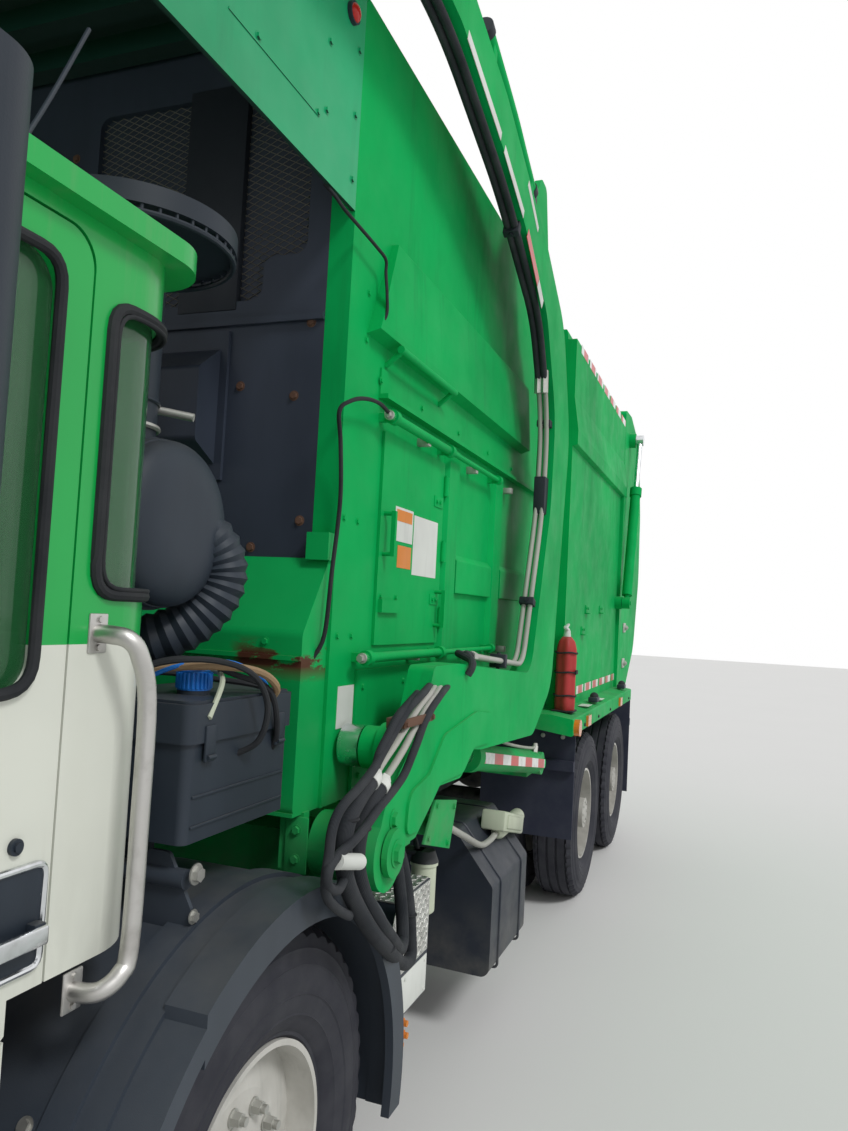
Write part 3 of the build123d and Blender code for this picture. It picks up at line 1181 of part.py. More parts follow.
def make_front_wheel():
    tyre = wheel_at(tyre_solid(FRONT_TYRE_RADIUS, FRONT_TYRE_WIDTH), FRONT_AXLE_X, FRONT_WHEEL_Y, FRONT_TYRE_RADIUS)
    rim = rim_solid(FRONT_TYRE_WIDTH, 60)
    hub = cross_bar(0, 0, HUB_RADIUS - 20, (-20, 70)) + cross_bar(0, 0, 75, (55, 145))
    rim = wheel_at(rim + hub, FRONT_AXLE_X, FRONT_WHEEL_Y, FRONT_TYRE_RADIUS)
    return tyre, rim


def make_rear_wheel(x):
    tyre = tyre_solid(REAR_TYRE_RADIUS, REAR_TYRE_WIDTH)
    outer = wheel_at(tyre, x, REAR_OUTER_WHEEL_Y, REAR_TYRE_RADIUS)
    inner = wheel_at(tyre, x, REAR_OUTER_WHEEL_Y - DUAL_SPACING, REAR_TYRE_RADIUS)
    outer_rim = rim_solid(REAR_TYRE_WIDTH, -80)
    inner_rim = mirror(outer_rim, about=Plane.XZ)
    hub = Pos(0, -DUAL_SPACING / 2, 0) * Rot(90, 0, 0) * Cylinder(HUB_RADIUS, 200)
    spindle = Pos(0, -DUAL_SPACING / 2 + 120, 0) * Rot(90, 0, 0) * Cylinder(95, 320)
    rims = join(outer_rim, [Pos(0, -DUAL_SPACING, 0) * inner_rim, hub, spindle])
    rims = wheel_at(rims, x, REAR_OUTER_WHEEL_Y, REAR_TYRE_RADIUS)
    return Compound(children=[outer, inner]), rims


def make_knuckle():
    centre = (FRONT_AXLE_X, KINGPIN_Y, FRONT_TYRE_RADIUS)
    post = Pos(centre[0], centre[1], centre[2] - 10) * Cylinder(KINGPIN_RADIUS, 260)
    spindle = cross_bar(centre[0], centre[2], 38, (KINGPIN_Y, FRONT_WHEEL_Y - 20 - SEAT_GAP))
    drum = cross_bar(centre[0], centre[2], 190, (KINGPIN_Y + 60, FRONT_WHEEL_Y - 110))
    return post + spindle + drum


# All nodes

nodes = {}


def left_and_right(name, shape):
    nodes[name + "_left"] = shape
    nodes[name + "_right"] = mirror(shape, about=Plane.XZ)


nodes["frame"] = make_frame()
nodes["bumpers"] = make_bumpers()
nodes["axles"] = make_axles()
nodes["engine"] = make_engine()
nodes["front_fenders"] = make_front_fenders()

cab = make_cab()
for panel in ("cab_roof", "cab_front", "cab_rear"):
    nodes[panel] = cab[panel]
nodes["cab_floor"] = make_cab_floor()
nodes["cab_glass"] = make_cab_glass()
nodes["cab_interior"] = make_cab_interior()
left_and_right("door", cab["door_left"])
left_and_right("door_glass", make_door_glass())
left_and_right("mirror", make_mirror())

nodes["air_intake"] = make_air_intake()
nodes["fluid_box"] = make_fluid_box()
nodes["side_tanks"] = make_side_tanks()

nodes["body_floor"] = make_body_floor()
hopper_side = make_hopper_side()
nodes["hopper_side_left"] = hopper_side - make_service_opening()
nodes["hopper_side_right"] = mirror(hopper_side, about=Plane.XZ)
nodes["hopper_door"] = make_hopper_door()
nodes["hopper_front"] = make_hopper_front()
nodes["front_screen"] = make_front_screen()
nodes["canopy"] = make_canopy()
left_and_right("body_side", make_body_side())
nodes["body_roof"] = make_body_roof()
nodes["rear_fenders"] = make_rear_fenders()
nodes["mud_flaps"] = make_mud_flaps()
nodes["lamps"] = make_lamps()
nodes["arm_mounts"] = make_arm_mounts()
nodes["packer_blade"] = make_packer_blade()

left_and_right("arm", make_arm())
nodes["arm_cross_tube"] = make_arm_cross_tube()
nodes["forks"] = make_forks()
nodes["lift_barrels"], nodes["lift_rods"] = make_lift_cylinder()
nodes["fork_barrels"], nodes["fork_rods"] = make_fork_cylinder()
nodes["tailgate"] = make_tailgate()
nodes["tailgate_barrels"], nodes["tailgate_rods"] = make_tailgate_cylinder()

left_and_right("knuckle", make_knuckle())
front_tyre, front_rim = make_front_wheel()
left_and_right("tyre_front", front_tyre)
left_and_right("rim_front", front_rim)
for label, axle_x in zip(("middle", "rear"), REAR_AXLE_X):
    rear_tyres, rear_rims = make_rear_wheel(axle_x)
    left_and_right("tyres_" + label, rear_tyres)
    left_and_right("rims_" + label, rear_rims)

os.makedirs("parts", exist_ok=True)
for name, shape in nodes.items():
    export_step(shape, "parts/" + name + ".step")
print(len(nodes), "nodes written")
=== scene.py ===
from math import cos, pi, radians, sin

import bmesh
import bpy
from mathutils import Matrix, Vector
from mathutils.bvhtree import BVHTree


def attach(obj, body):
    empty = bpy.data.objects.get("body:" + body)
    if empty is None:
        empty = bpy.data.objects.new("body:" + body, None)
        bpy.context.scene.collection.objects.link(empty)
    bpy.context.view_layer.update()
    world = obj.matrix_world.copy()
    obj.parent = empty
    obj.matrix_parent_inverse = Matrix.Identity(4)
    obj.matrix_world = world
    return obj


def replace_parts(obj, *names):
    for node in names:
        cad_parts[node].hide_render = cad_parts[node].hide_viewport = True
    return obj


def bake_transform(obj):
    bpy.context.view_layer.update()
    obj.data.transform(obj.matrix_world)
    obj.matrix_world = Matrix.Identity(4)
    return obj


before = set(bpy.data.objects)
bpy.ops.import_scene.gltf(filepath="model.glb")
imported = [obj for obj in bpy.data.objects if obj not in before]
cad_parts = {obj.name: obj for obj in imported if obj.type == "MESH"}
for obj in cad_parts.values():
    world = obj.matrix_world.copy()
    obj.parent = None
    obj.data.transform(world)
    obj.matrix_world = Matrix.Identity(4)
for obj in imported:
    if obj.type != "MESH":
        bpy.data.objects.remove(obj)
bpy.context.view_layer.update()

# Places in metres, in the truck's frame: X forward, Y to its left, Z up, ground at zero

PHOTO_HEIGHT = 1131
FOCAL_PIXELS = 860
CAMERA_PLACE = (4.0, 2.127, 1.8)
CAMERA_YAW = 20.57
CAMERA_PITCH = 3.05
CAMERA_ROLL = 3.0

SIDES = ((1, "left"), (-1, "right"))
AHEAD = (1, 0, 0)
OUT = (0, 1, 0)
BELT_Z = 1.716
CAB_Y = 1.1
CAB_REAR_X = 2.62
CAB_CORNER = 0.14
QUARTER_WINDOW_X = 2.9
SCREEN_X = 4.34
SCREEN_FOOT_Z = 1.71
SCREEN_LEAN = 0.16 / 0.76
DOOR_LABEL_Y = (1.0785, 1.0803)
WIRE_STEP = 0.022
INTAKE_DRAWN = 0.5
INTAKE_DRAWN_FROM = 0.88
INTAKE_CAP_Z = 2.3
DUCT = (2.41, 0.755)
DRUM = (2.41, 1.965)
CAP_PLACE = (2.4, 1.005)
FRONT_FENDER = (2.3, 0.538, 0.632)
ARM_OUT_Y = 1.28
ARM_TUBE_Y = 1.25
PIPES_END_Z = 2.86
LIFT_PIN = (-0.55, 1.03)
LIFT_SLOPE = radians(9.4)
TREAD_STEPS = 150
EXTINGUISHER = (-0.868, 1.188)
CANISTER = (0.825, 1.0)
FUEL_CAP = (1.0, -1.05)


# Forms

MIRROR = Matrix.Diagonal((1, -1, 1, 1))


def span(middle, half):
    return middle - half, middle + half


def about(axis, degrees):
    return Matrix.Rotation(radians(degrees), 4, axis)


def soften(part, bevel):
    if bevel:
        bmesh.ops.bevel(part, geom=part.edges[:], offset=bevel, segments=2, affect="EDGES", profile=0.5)


def flip(mesh):
    mesh.transform(MIRROR)
    bmesh.ops.reverse_faces(mesh, faces=mesh.faces[:])


def bridge(part, one, two):
    """Faces between two rings of vertices."""
    count = len(one)
    for k in range(count):
        part.faces.new((one[k], one[(k + 1) % count], two[(k + 1) % count], two[k]))


def show(name, data, material, body="root"):
    """Makes a mesh a piece in a material; it rides on a body, or, where a joint between two bodies is given,
    stays fixed with its transform baked.
    """
    data.materials.clear()
    data.materials.append(MATERIALS[material])
    made = bpy.data.objects.new(name, data)
    bpy.context.scene.collection.objects.link(made)
    if isinstance(body, str):
        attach(made, body)
    else:
        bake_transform(made)
    return made


class Form:
    """Collects simple forms into one mesh."""

    def __init__(self, mesh=None):
        self.mesh = mesh or bmesh.new()

    def add(self, part, place=None):
        if place is not None:
            part.transform(place)
        copied = bpy.data.meshes.new("part")
        part.to_mesh(copied)
        part.free()
        self.mesh.from_mesh(copied)
        bpy.data.meshes.remove(copied)
        return self

    def box(self, x, y, z, bevel=0.0, turn=None):
        """Box between (low, high) pairs, its edges rounded, turned about its centre by a matrix."""
        part = bmesh.new()
        bmesh.ops.create_cube(part, size=1.0)
        part.transform(Matrix.Diagonal((*(abs(high - low) for low, high in (x, y, z)), 1)))
        soften(part, bevel)
        centre = Matrix.Translation([sum(pair) / 2 for pair in (x, y, z)])
        return self.add(part, centre @ (turn or Matrix.Identity(4)))

    def rod(self, start, end, radius, sides=20, end_radius=None):
        start = Vector(start)
        axis = Vector(end) - start
        part = bmesh.new()
        bmesh.ops.create_cone(
            part, cap_ends=True, segments=sides, radius1=radius,
            radius2=radius if end_radius is None else end_radius, depth=axis.length,
        )
        turn = axis.to_track_quat("Z", "Y").to_matrix().to_4x4()
        return self.add(part, Matrix.Translation(start + axis / 2) @ turn)

    def ball(self, centre, radius, squeeze=(1, 1, 1)):
        part = bmesh.new()
        bmesh.ops.create_uvsphere(part, u_segments=24, v_segments=14, radius=radius)
        return self.add(part, Matrix.Translation(centre) @ Matrix.Diagonal((*squeeze, 1)))

    def tube(self, points, radius, sides=10, closed=False):
        """Round tube along the points, its ring carried without twist; radius may be a function of the step."""
        points = [Vector(p) for p in points]
        count = len(points)
        part = bmesh.new()
        rings = []
        normal = None
        for i, point in enumerate(points):
            before = points[i - 1] if i or closed else point
            after = points[(i + 1) % count] if i < count - 1 or closed else point
            along = (after - before).normalized()
            if normal is None:
                normal = along.orthogonal().normalized()
            normal = (normal - along * normal.dot(along)).normalized()
            side = along.cross(normal)
            wide = radius(i) if callable(radius) else radius
            turns = [2 * pi * k / sides for k in range(sides)]
            rings.append([part.verts.new(point + (normal * cos(a) + side * sin(a)) * wide) for a in turns])
        for one, two in zip(rings, rings[1:]):
            bridge(part, one, two)
        if closed:
            bridge(part, rings[-1], rings[0])
        else:
            part.faces.new(rings[0][::-1])
            part.faces.new(rings[-1])
        return self.add(part)

    def plate(self, corners, thickness, bevel=0.0):
        """Plate whose corners are 3-D points in one plane, thickened along Y."""
        part = bmesh.new()
        face = part.faces.new([part.verts.new(c) for c in corners])
        grown = bmesh.ops.extrude_face_region(part, geom=[face])
        moved = [g for g in grown["geom"] if isinstance(g, bmesh.types.BMVert)]
        bmesh.ops.translate(part, verts=moved, vec=(0, thickness, 0))
        bmesh.ops.recalc_face_normals(part, faces=part.faces[:])
        soften(part, bevel)
        return self.add(part)

    def lathe(self, rings, segments, place):
        """Closed solid turned about Y from (radius, y) points; radius may be a function of the turn."""
        part = bmesh.new()
        grid = []
        for k in range(segments):
            angle = 2 * pi * k / segments
            row = []
            for radius, y in rings:
                r = radius(k) if callable(radius) else radius
                row.append(part.verts.new((r * cos(angle), y, r * sin(angle))))
            grid.append(row)
        for k in range(segments):
            bridge(part, grid[k], grid[(k + 1) % segments])
        bmesh.ops.recalc_face_normals(part, faces=part.faces[:])
        return self.add(part, Matrix.Translation(place))

    def bolt(self, centre, axis, radius=0.012, height=0.008):
        """Hexagon head on its washer."""
        centre, axis = Vector(centre), Vector(axis)
        self.rod(centre, centre + axis * height * 0.25, radius * 1.35)
        return self.rod(centre + axis * height * 0.2, centre + axis * height, radius, 6, radius * 0.93)

    def bolts(self, places, axis, radius, height):
        for place in places:
            self.bolt(place, axis, radius, height)
        return self

    def piece(self, name, material, body="root", sharp=35):
        data = bpy.data.meshes.new(name)
        self.mesh.to_mesh(data)
        self.mesh.free()
        for face in data.polygons:
            face.use_smooth = True
        data.set_sharp_from_angle(angle=radians(sharp))
        return show(name, data, material, body)

    def pair(self, name, material, body="root"):
        """One piece of the form and its mirror image across the truck."""
        other = self.mesh.copy()
        flip(other)
        return self.add(other).piece(name, material, body)

    def both(self, name, material, body="root"):
        """Two pieces, the form on the left and its mirror image on the right; % stands for the side."""
        for side, word in SIDES:
            form = Form(self.mesh.copy())
            if side < 0:
                flip(form.mesh)
            if isinstance(body, str):
                onto = body.replace("%", word)
            else:
                onto = (*body[:2], *((x, side * y, z) for x, y, z in body[2:]))
            form.piece(name.replace("%", word), material, onto)


def smooth(points, steps=8):
    """Points along a smooth curve through the given ones."""
    points = [Vector(p) for p in points]
    line = []
    for i, (p1, p2) in enumerate(zip(points, points[1:])):
        p0 = points[i - 1] if i else p1 * 2 - p2
        p3 = points[i + 2] if i < len(points) - 2 else p2 * 2 - p1
        for k in range(steps):
            t = k / steps
            line.append(0.5 * (
                2 * p1 + (p2 - p0) * t + (2 * p0 - 5 * p1 + 4 * p2 - p3) * t ** 2
                + (3 * p1 - p0 - 3 * p2 + p3) * t ** 3
            ))
    return line + [points[-1]]


def rounded(corners, radius, steps=5, closed=True):
    """Line of 3-D corners, each rounded to the radius, or to its own where a list is given."""
    corners = [Vector(c) for c in corners]
    count = len(corners)
    radii = radius if isinstance(radius, list) else [radius] * count
    line = []
    for i, corner in enumerate(corners):
        if not closed and i in (0, count - 1):
            line.append(corner)
            continue
        back = corners[i - 1] - corner
        ahead = corners[(i + 1) % count] - corner
        reach = min(radii[i], back.length * 0.49, ahead.length * 0.49)
        start = corner + back.normalized() * reach
        end = corner + ahead.normalized() * reach
        for k in range(steps + 1):
            t = k / steps
            line.append(start * (1 - t) ** 2 + corner * 2 * t * (1 - t) + end * t ** 2)
    return line


def at(y, places):
    """Places given in X and Z, at one Y."""
    return [(x, y, z) for x, z in places]


def flat(x, y, radius, count, lead=0.0):
    """X and Y of points round a centre, the first turned by the lead."""
    turns = [2 * pi * k / count + lead for k in range(count)]
    return [(x + radius * cos(a), y + radius * sin(a)) for a in turns]


def level_ring(x, y, z, radius, count):
    return [(px, py, z) for px, py in flat(x, y, radius, count)]


# Materials

class Nodes:
    """Adds nodes to a tree and links them."""

    def __init__(self, tree):
        self.tree = tree

    def node(self, kind, links=None, **settings):
        made = self.tree.nodes.new("ShaderNode" + kind)
        for key, value in settings.items():
            setattr(made, key, value)
        for key, value in (links or {}).items():
            self.put(made.inputs[key], value)
        return made

    def put(self, socket, value):
        if isinstance(value, bpy.types.NodeSocket):
            self.tree.links.new(value, socket)
        else:
            socket.default_value = (*value, 1) if socket.type == "RGBA" else value

    def math(self, operation, a, b=0.0):
        return self.node("Math", {0: a, 1: b}, operation=operation).outputs[0]

    def times(self, first, *others):
        for other in others:
            first = self.math("MULTIPLY", first, other)
        return first

    def window(self, value, low, high, top=1.0, bottom=0.0):
        """Value spread from low..high to bottom..top, held inside."""
        return self.node("MapRange", {0: value, 1: low, 2: high, 3: bottom, 4: top}).outputs[0]

    def mix(self, share, one, two):
        return self.node("Mix", {0: share, 6: one, 7: two}, data_type="RGBA").outputs[2]


class Finish(Nodes):
    """A procedural material on a principled shader, with its patterns placed on the object itself."""

    def __init__(self, name, roughness=0.5, metallic=0.0, specular=0.5):
        self.material = bpy.data.materials.new(name)
        self.material.use_nodes = True
        super().__init__(self.material.node_tree)
        self.set("Roughness", roughness)
        self.set("Metallic", metallic)
        self.set("Specular IOR Level", specular)
        self.place = self.node("TexCoord").outputs["Object"]

    def set(self, key, value):
        self.put(self.tree.nodes["Principled BSDF"].inputs[key], value)

    def noise(self, scale, stretch=(1, 1, 1), detail=4.0, rough=0.6):
        place = self.node("Mapping", {"Vector": self.place, "Scale": stretch}).outputs[0]
        links = {"Vector": place, "Scale": scale, "Detail": detail, "Roughness": rough}
        return self.node("TexNoise", links).outputs["Fac"]

    def cloud(self, scale, low, high, top=1.0, stretch=(1, 1, 1), detail=4.0, rough=0.6):
        return self.window(self.noise(scale, stretch, detail, rough), low, high, top)

    def axis(self, name):
        return self.node("SeparateXYZ", {0: self.place}).outputs[name]

    def facing_up(self):
        normal = self.node("NewGeometry").outputs["Normal"]
        return self.node("SeparateXYZ", {0: normal}).outputs["Z"]

    def layer(self, share, color):
        """Lays a colour over the ones before it."""
        self.color = self.mix(share, self.color, color)

    def done(self, height=None, strength=0.0, distance=0.0):
        """Puts the layers and a bump on the shader."""
        self.set("Base Color", self.color)
        if height is not None:
            links = {"Height": height, "Strength": strength, "Distance": distance}
            self.set("Normal", self.node("Bump", links).outputs[0])
        return self.material


GREEN = (0.004, 0.41, 0.098)
CREAM = (0.72, 0.74, 0.66)
DUST = (0.2, 0.19, 0.16)
SOOT = (0.015, 0.03, 0.02)
RUST = (0.2, 0.07, 0.028)


def weathered(f, color, streaks=0.25, grime_z=None, dust=0.3):
    """A paint colour with cloudy fading, rain streaks, grime low down and dust on what faces up."""
    f.color = f.mix(f.cloud(1.4, 0.35, 0.7), color, [c * 0.72 for c in color])
    f.layer(f.cloud(9.0, 0.56, 0.78, streaks, (1, 1, 0.09), 5.0, 0.7), SOOT)
    if grime_z is not None:
        low = f.window(f.axis("Z"), grime_z, grime_z - 0.55)
        f.layer(f.times(low, f.cloud(7.0, 0.35, 0.75, 0.8)), DUST)
    top = f.window(f.facing_up(), 0.5, 1.0)
    f.layer(f.times(top, f.cloud(5.0, 0.3, 0.8, dust)), DUST)


def paint(name, color, rough=0.35, streaks=0.25, grime_z=None, rust=0.0, dust=0.3, specular=0.3, under_shade=0.0,
          rust_z=None, inside=None):
    """Gloss paint; under is the strength of painted shade on what faces down, rust_z is a rusty band's height,
    inside bounds the inner faces darkened as painted shade.
    """
    f = Finish(name, rough, 0.0, specular)
    weathered(f, color, streaks, grime_z, dust)
    # Painted shade: faces within the given half-width and behind the given X that do not face up are darkened
    # nearly to black.
    if inside:
        within = f.math("LESS_THAN", f.math("ABSOLUTE", f.axis("Y")), inside[0])
        behind = f.math("LESS_THAN", f.axis("X"), inside[1])
        f.layer(f.times(within, behind, f.window(f.facing_up(), 0.6, 0.3, 0.93)), (0.012, 0.028, 0.03))
    # Painted shade on the faces that face down.
    if under_shade:
        f.layer(f.window(f.facing_up(), -0.4, -0.9, under_shade), (0.02, 0.04, 0.035))
    if rust:
        f.layer(f.cloud(3.2, 0.67, 0.7, rust, (1, 1, 1), 9.0, 0.75), RUST)
    if rust_z is not None:
        away = f.math("ABSOLUTE", f.math("SUBTRACT", f.axis("Z"), rust_z))
        outboard = f.window(f.math("ABSOLUTE", f.axis("Y")), 0.84, 0.88)
        bare = f.cloud(6.0, 0.5, 0.54, 1.0, (1, 1, 2.5), 8.0, 0.7)
        f.layer(f.times(f.window(away, 0.06, 0.015), outboard, bare), (0.09, 0.035, 0.02))
    f.set("Roughness", f.window(f.noise(6.0), 0.3, 0.75, rough + 0.22, rough))
    return f.done(f.noise(240.0, (1, 1, 1), 2.0), 0.08, 0.0006)


def two_tone(name):
    """Cab paint: green above the belt line, cream below it."""
    f = Finish(name, 0.3, 0.0, 0.35)
    f.color = f.mix(f.math("GREATER_THAN", f.axis("Z"), BELT_Z), CREAM, (0.004, 0.4, 0.07))
    f.layer(f.cloud(1.1, 0.4, 0.75, 0.16), SOOT)
    f.layer(f.cloud(14.0, 0.55, 0.8, 0.22, (1, 1, 0.08), 6.0), (0.3, 0.27, 0.2))
    low = f.window(f.axis("Z"), 1.45, 0.85, 0.6)
    f.layer(f.times(low, f.cloud(11.0, 0.38, 0.8, 1.0, (1, 1, 0.35))), DUST)
    f.set("Coat Weight", 0.2)
    f.set("Coat Roughness", 0.08)
    return f.done(f.noise(300.0, (1, 1, 1), 2.0), 0.05, 0.0004)


def plastic(name, color, rough=0.55, dust=0.5, grain=0.25, specular=0.3):
    f = Finish(name, rough, 0.0, specular)
    weathered(f, color, 0.0, None, dust)
    # Paler upright patches in the plastic's own hue: partly dust, partly a painted highlight.
    f.layer(f.cloud(3.0, 0.4, 0.75, 0.3, (1, 1, 0.3)), [min(1, c * 1.9 + 0.015) for c in color])
    return f.done(f.noise(420.0, (1, 1, 1), 3.0), grain, 0.0008)


def metal(name, color, rough=0.25, stretch=(1, 1, 1)):
    f = Finish(name, rough, 1.0)
    f.color = f.mix(f.cloud(16.0, 0.5, 0.85, 0.45), color, (0.13, 0.11, 0.09))
    f.set("Roughness", f.window(f.noise(30.0, stretch), 0.0, 1.0, rough + 0.25, rough))
    return f.done(f.noise(180.0, stretch), 0.12, 0.0006)


def rubber(name, color, dust=0.5, ribs=0.0):
    f = Finish(name, 0.75, 0.0, 0.25)
    f.color = f.mix(f.cloud(8.0, 0.35, 0.8, dust), color, [c + 0.05 for c in color])
    grain = f.noise(150.0)
    if ribs:
        wave = f.node("TexWave", {"Vector": f.place, "Scale": ribs, "Distortion": 2.0})
        grain = f.math("ADD", grain, wave.outputs["Fac"])
    return f.done(grain, 0.35, 0.001)


def glass(name, color):
    f = Finish(name, 0.05)
    # Paler upright streaks over the tint are a painted reflection.
    f.color = f.mix(f.cloud(5.0, 0.4, 0.8, 0.3, (1, 1, 0.4)), color, (0.2, 0.34, 0.22))
    f.set("Transmission Weight", 0.6)
    f.set("IOR", 1.45)
    f.set("Alpha", 0.85)
    return f.done()


def reflective(name):
    """Conspicuity tape: red and white lengths with a fine bead pattern."""
    f = Finish(name, 0.3)
    turn = f.math("FRACT", f.math("MULTIPLY", f.math("ADD", f.axis("X"), f.axis("Y")), 3.6))
    f.color = f.mix(f.math("GREATER_THAN", turn, 0.5), (0.75, 0.76, 0.74), (0.55, 0.035, 0.03))
    f.layer(f.cloud(24.0, 0.45, 0.8, 0.5), DUST)
    cells = f.node("TexVoronoi", {"Vector": f.place, "Scale": 350.0})
    return f.done(cells.outputs["Distance"], 0.25, 0.0005)


def lamp_lenses(name):
    """Clear lenses in front, amber along the sides, red behind."""
    f = Finish(name, 0.15)
    f.color = f.mix(f.math("LESS_THAN", f.axis("X"), -3.9), (0.75, 0.2, 0.015), (0.5, 0.02, 0.015))
    f.layer(f.math("GREATER_THAN", f.axis("X"), 4.0), (0.62, 0.64, 0.62))
    f.layer(f.cloud(20.0, 0.4, 0.8, 0.35), DUST)
    f.set("Coat Weight", 0.6)
    f.set("Coat Roughness", 0.05)
    waves = f.node("TexWave", {"Vector": f.place, "Scale": 30.0})
    return f.done(waves.outputs["Fac"], 0.3, 0.002)


# Half-width and front X of the canopy's inside, which is darkened as painted shade
CANOPY_SHADED_INSIDE = (1.064, 3.345)
RUST_BAND_Z = 1.655

MATERIALS = {
    "green": paint("body_green_paint", GREEN, 0.42, 0.28, 1.35, 0.3, 0.3, 0.04),
    # The canopy's paint holds painted shade on the faces that face down and on its inner faces.
    "canopy": paint("canopy_green_paint", (0.01, 0.4, 0.16), 0.3, 0.2, None, 0.1, 0.3, 0.3, 0.92, None,
                    CANOPY_SHADED_INSIDE),
    "rusty": paint("rusty_steel", (0.14, 0.075, 0.05), 0.7, 0.3, None, 0.6),
    "wire": paint("dark_wire", (0.17, 0.16, 0.14), 0.5, 0.2, None, 0.2),
    "bulge": paint("rusty_green_paint", GREEN, 0.4, 0.3, 1.35, 0.3, 0.5, 0.15, 0.0, RUST_BAND_Z),
    "cab": two_tone("cab_two_tone_paint"),
    "black": paint("chassis_paint", (0.02, 0.025, 0.034), 0.5, 0.1, 1.0, 0.3, 0.5),
    "screen": plastic("screen_paint", (0.034, 0.044, 0.066), 0.5, 0.5, 0.1, 0.3),
    "tank": paint("tank_paint", (0.02, 0.027, 0.042), 0.4, 0.15, 0.6, 0.2, 0.5, 0.4),
    "plastic": plastic("black_moulded_plastic", (0.022, 0.031, 0.044), 0.5, 0.4),
    "fender": plastic("fender_plastic", (0.034, 0.044, 0.06), 0.5, 0.35, 0.3, 0.45),
    "glass": glass("tinted_glass", (0.03, 0.22, 0.07)),
    "chrome": metal("hard_chrome", (0.72, 0.74, 0.76), 0.12),
    "steel": metal("brushed_stainless", (0.56, 0.55, 0.53), 0.3, (1, 1, 14)),
    "zinc": metal("dull_zinc", (0.5, 0.5, 0.47), 0.45),
    "tread": metal("tread_plate", (0.62, 0.62, 0.6), 0.35),
    "pipe": paint("hydraulic_pipe_paint", (0.42, 0.42, 0.38), 0.4, 0.2, None, 0.25),
    "rubber": rubber("black_rubber", (0.014, 0.016, 0.019), 0.4),
    "hose": rubber("hose_rubber", (0.016, 0.019, 0.024), 0.55, 60.0),
    "flap": rubber("flap_rubber", (0.026, 0.03, 0.052), 0.35),
    "tyre": rubber("tyre_rubber", (0.026, 0.027, 0.036), 0.5),
    "rim": paint("rim_enamel", (0.6, 0.59, 0.55), 0.42, 0.3, 0.9, 0.35),
    "tape": reflective("conspicuity_tape"),
    "label": paint("blank_label", (0.72, 0.74, 0.7), 0.45, 0.3, None, 0.0),
    "orange": paint("orange_label", (0.75, 0.25, 0.04), 0.45, 0.25, None, 0.0),
    "tan": plastic("tan_hose", (0.3, 0.2, 0.11), 0.6, 0.3),
    "pale": plastic("pale_green_canister", (0.5, 0.55, 0.42), 0.5, 0.4),
    "red": plastic("red_cover", (0.42, 0.035, 0.035), 0.5, 0.4),
    "lamps": lamp_lenses("lamp_lenses"),
    "lamp_red": plastic("red_lens", (0.5, 0.02, 0.015), 0.15, 0.2, 0.05),
    "lamp_amber": plastic("amber_lens", (0.8, 0.2, 0.02), 0.15, 0.2, 0.05),
    "blue": plastic("blue_cap", (0.01, 0.17, 0.62), 0.4, 0.2),
    "seat": plastic("seat_cloth", (0.05, 0.05, 0.055), 0.85, 0.3, 0.6),
}

NODES_IN = {
    "cab": "cab_roof cab_front cab_rear door_left door_right",
    "black": "frame bumpers axles engine knuckle_left knuckle_right",
    "screen": "front_screen",
    "tank": "side_tanks",
    "canopy": "canopy",
    "bulge": "hopper_front",
    "plastic": "air_intake fluid_box mirror_left mirror_right cab_floor",
    "fender": "front_fenders",
    "seat": "cab_interior",
    "glass": "cab_glass door_glass_left door_glass_right",
    "chrome": "lift_rods fork_rods tailgate_rods",
    "flap": "mud_flaps",
    "lamps": "lamps",
}


def inverted(table):
    return {word: key for key, words in table.items() for word in words.split()}


MATERIAL_OF_NODE = inverted(NODES_IN)


def dress_nodes():
    """Every CAD node gets its finish, green where the table above names no other."""
    for node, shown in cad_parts.items():
        kind = MATERIAL_OF_NODE.get(node, "green")
        for word in ("tyre", "rim"):
            if node.startswith(word):
                kind = word
        shown.data.materials.clear()
        shown.data.materials.append(MATERIALS[kind])


# Places on the CAD surfaces

TREES = {}


def hit(node, origin, direction):
    """Where a ray meets a node, or None."""
    if node not in TREES:
        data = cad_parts[node].data
        TREES[node] = BVHTree.FromPolygons([v.co for v in data.vertices], [p.vertices for p in data.polygons])
    return TREES[node].ray_cast(Vector(origin), Vector(direction))[0]


def side_face(node, x, z):
    """Y of a node's outermost left face at X and Z."""
    return hit(node, (x, 2.5, z), (0, -1, 0)).y


def rear_face(node, y, z):
    """X of a node's rearmost face at Y and Z."""
    return hit(node, (-6, y, z), AHEAD).x


def divided(points, step):
    """Closed line with its long runs divided."""
    line = []
    for i, point in enumerate(points):
        ahead = points[(i + 1) % len(points)]
        count = max(1, int((ahead - point).length / step))
        line.extend(point.lerp(ahead, k / count) for k in range(count))
    return line


def cab_skin(run, out=0.0):
    """Place on the cab's side and rear wall, a run rearward from the quarter window and round the corner."""
    x, y = CAB_REAR_X + CAB_CORNER, CAB_Y - CAB_CORNER
    straight = QUARTER_WINDOW_X - x
    arc = CAB_CORNER * pi / 2
    if run <= straight:
        return QUARTER_WINDOW_X - run, CAB_Y + out
    if run <= straight + arc:
        turn = (run - straight) / CAB_CORNER
        reach = CAB_CORNER + out
        return x - reach * sin(turn), y + reach * cos(turn)
    return CAB_REAR_X - out, y - (run - straight - arc)


def screen_x(z):
    """X of the windscreen's outer face."""
    return SCREEN_X - max(0, z - SCREEN_FOOT_Z) * SCREEN_LEAN


def rectangle(a, b, low, high):
    return (a, low), (b, low), (b, high), (a, high)


def across(x, places):
    """Places given in Y and Z, at one X."""
    return [(x, y, z) for y, z in places]


# Cab

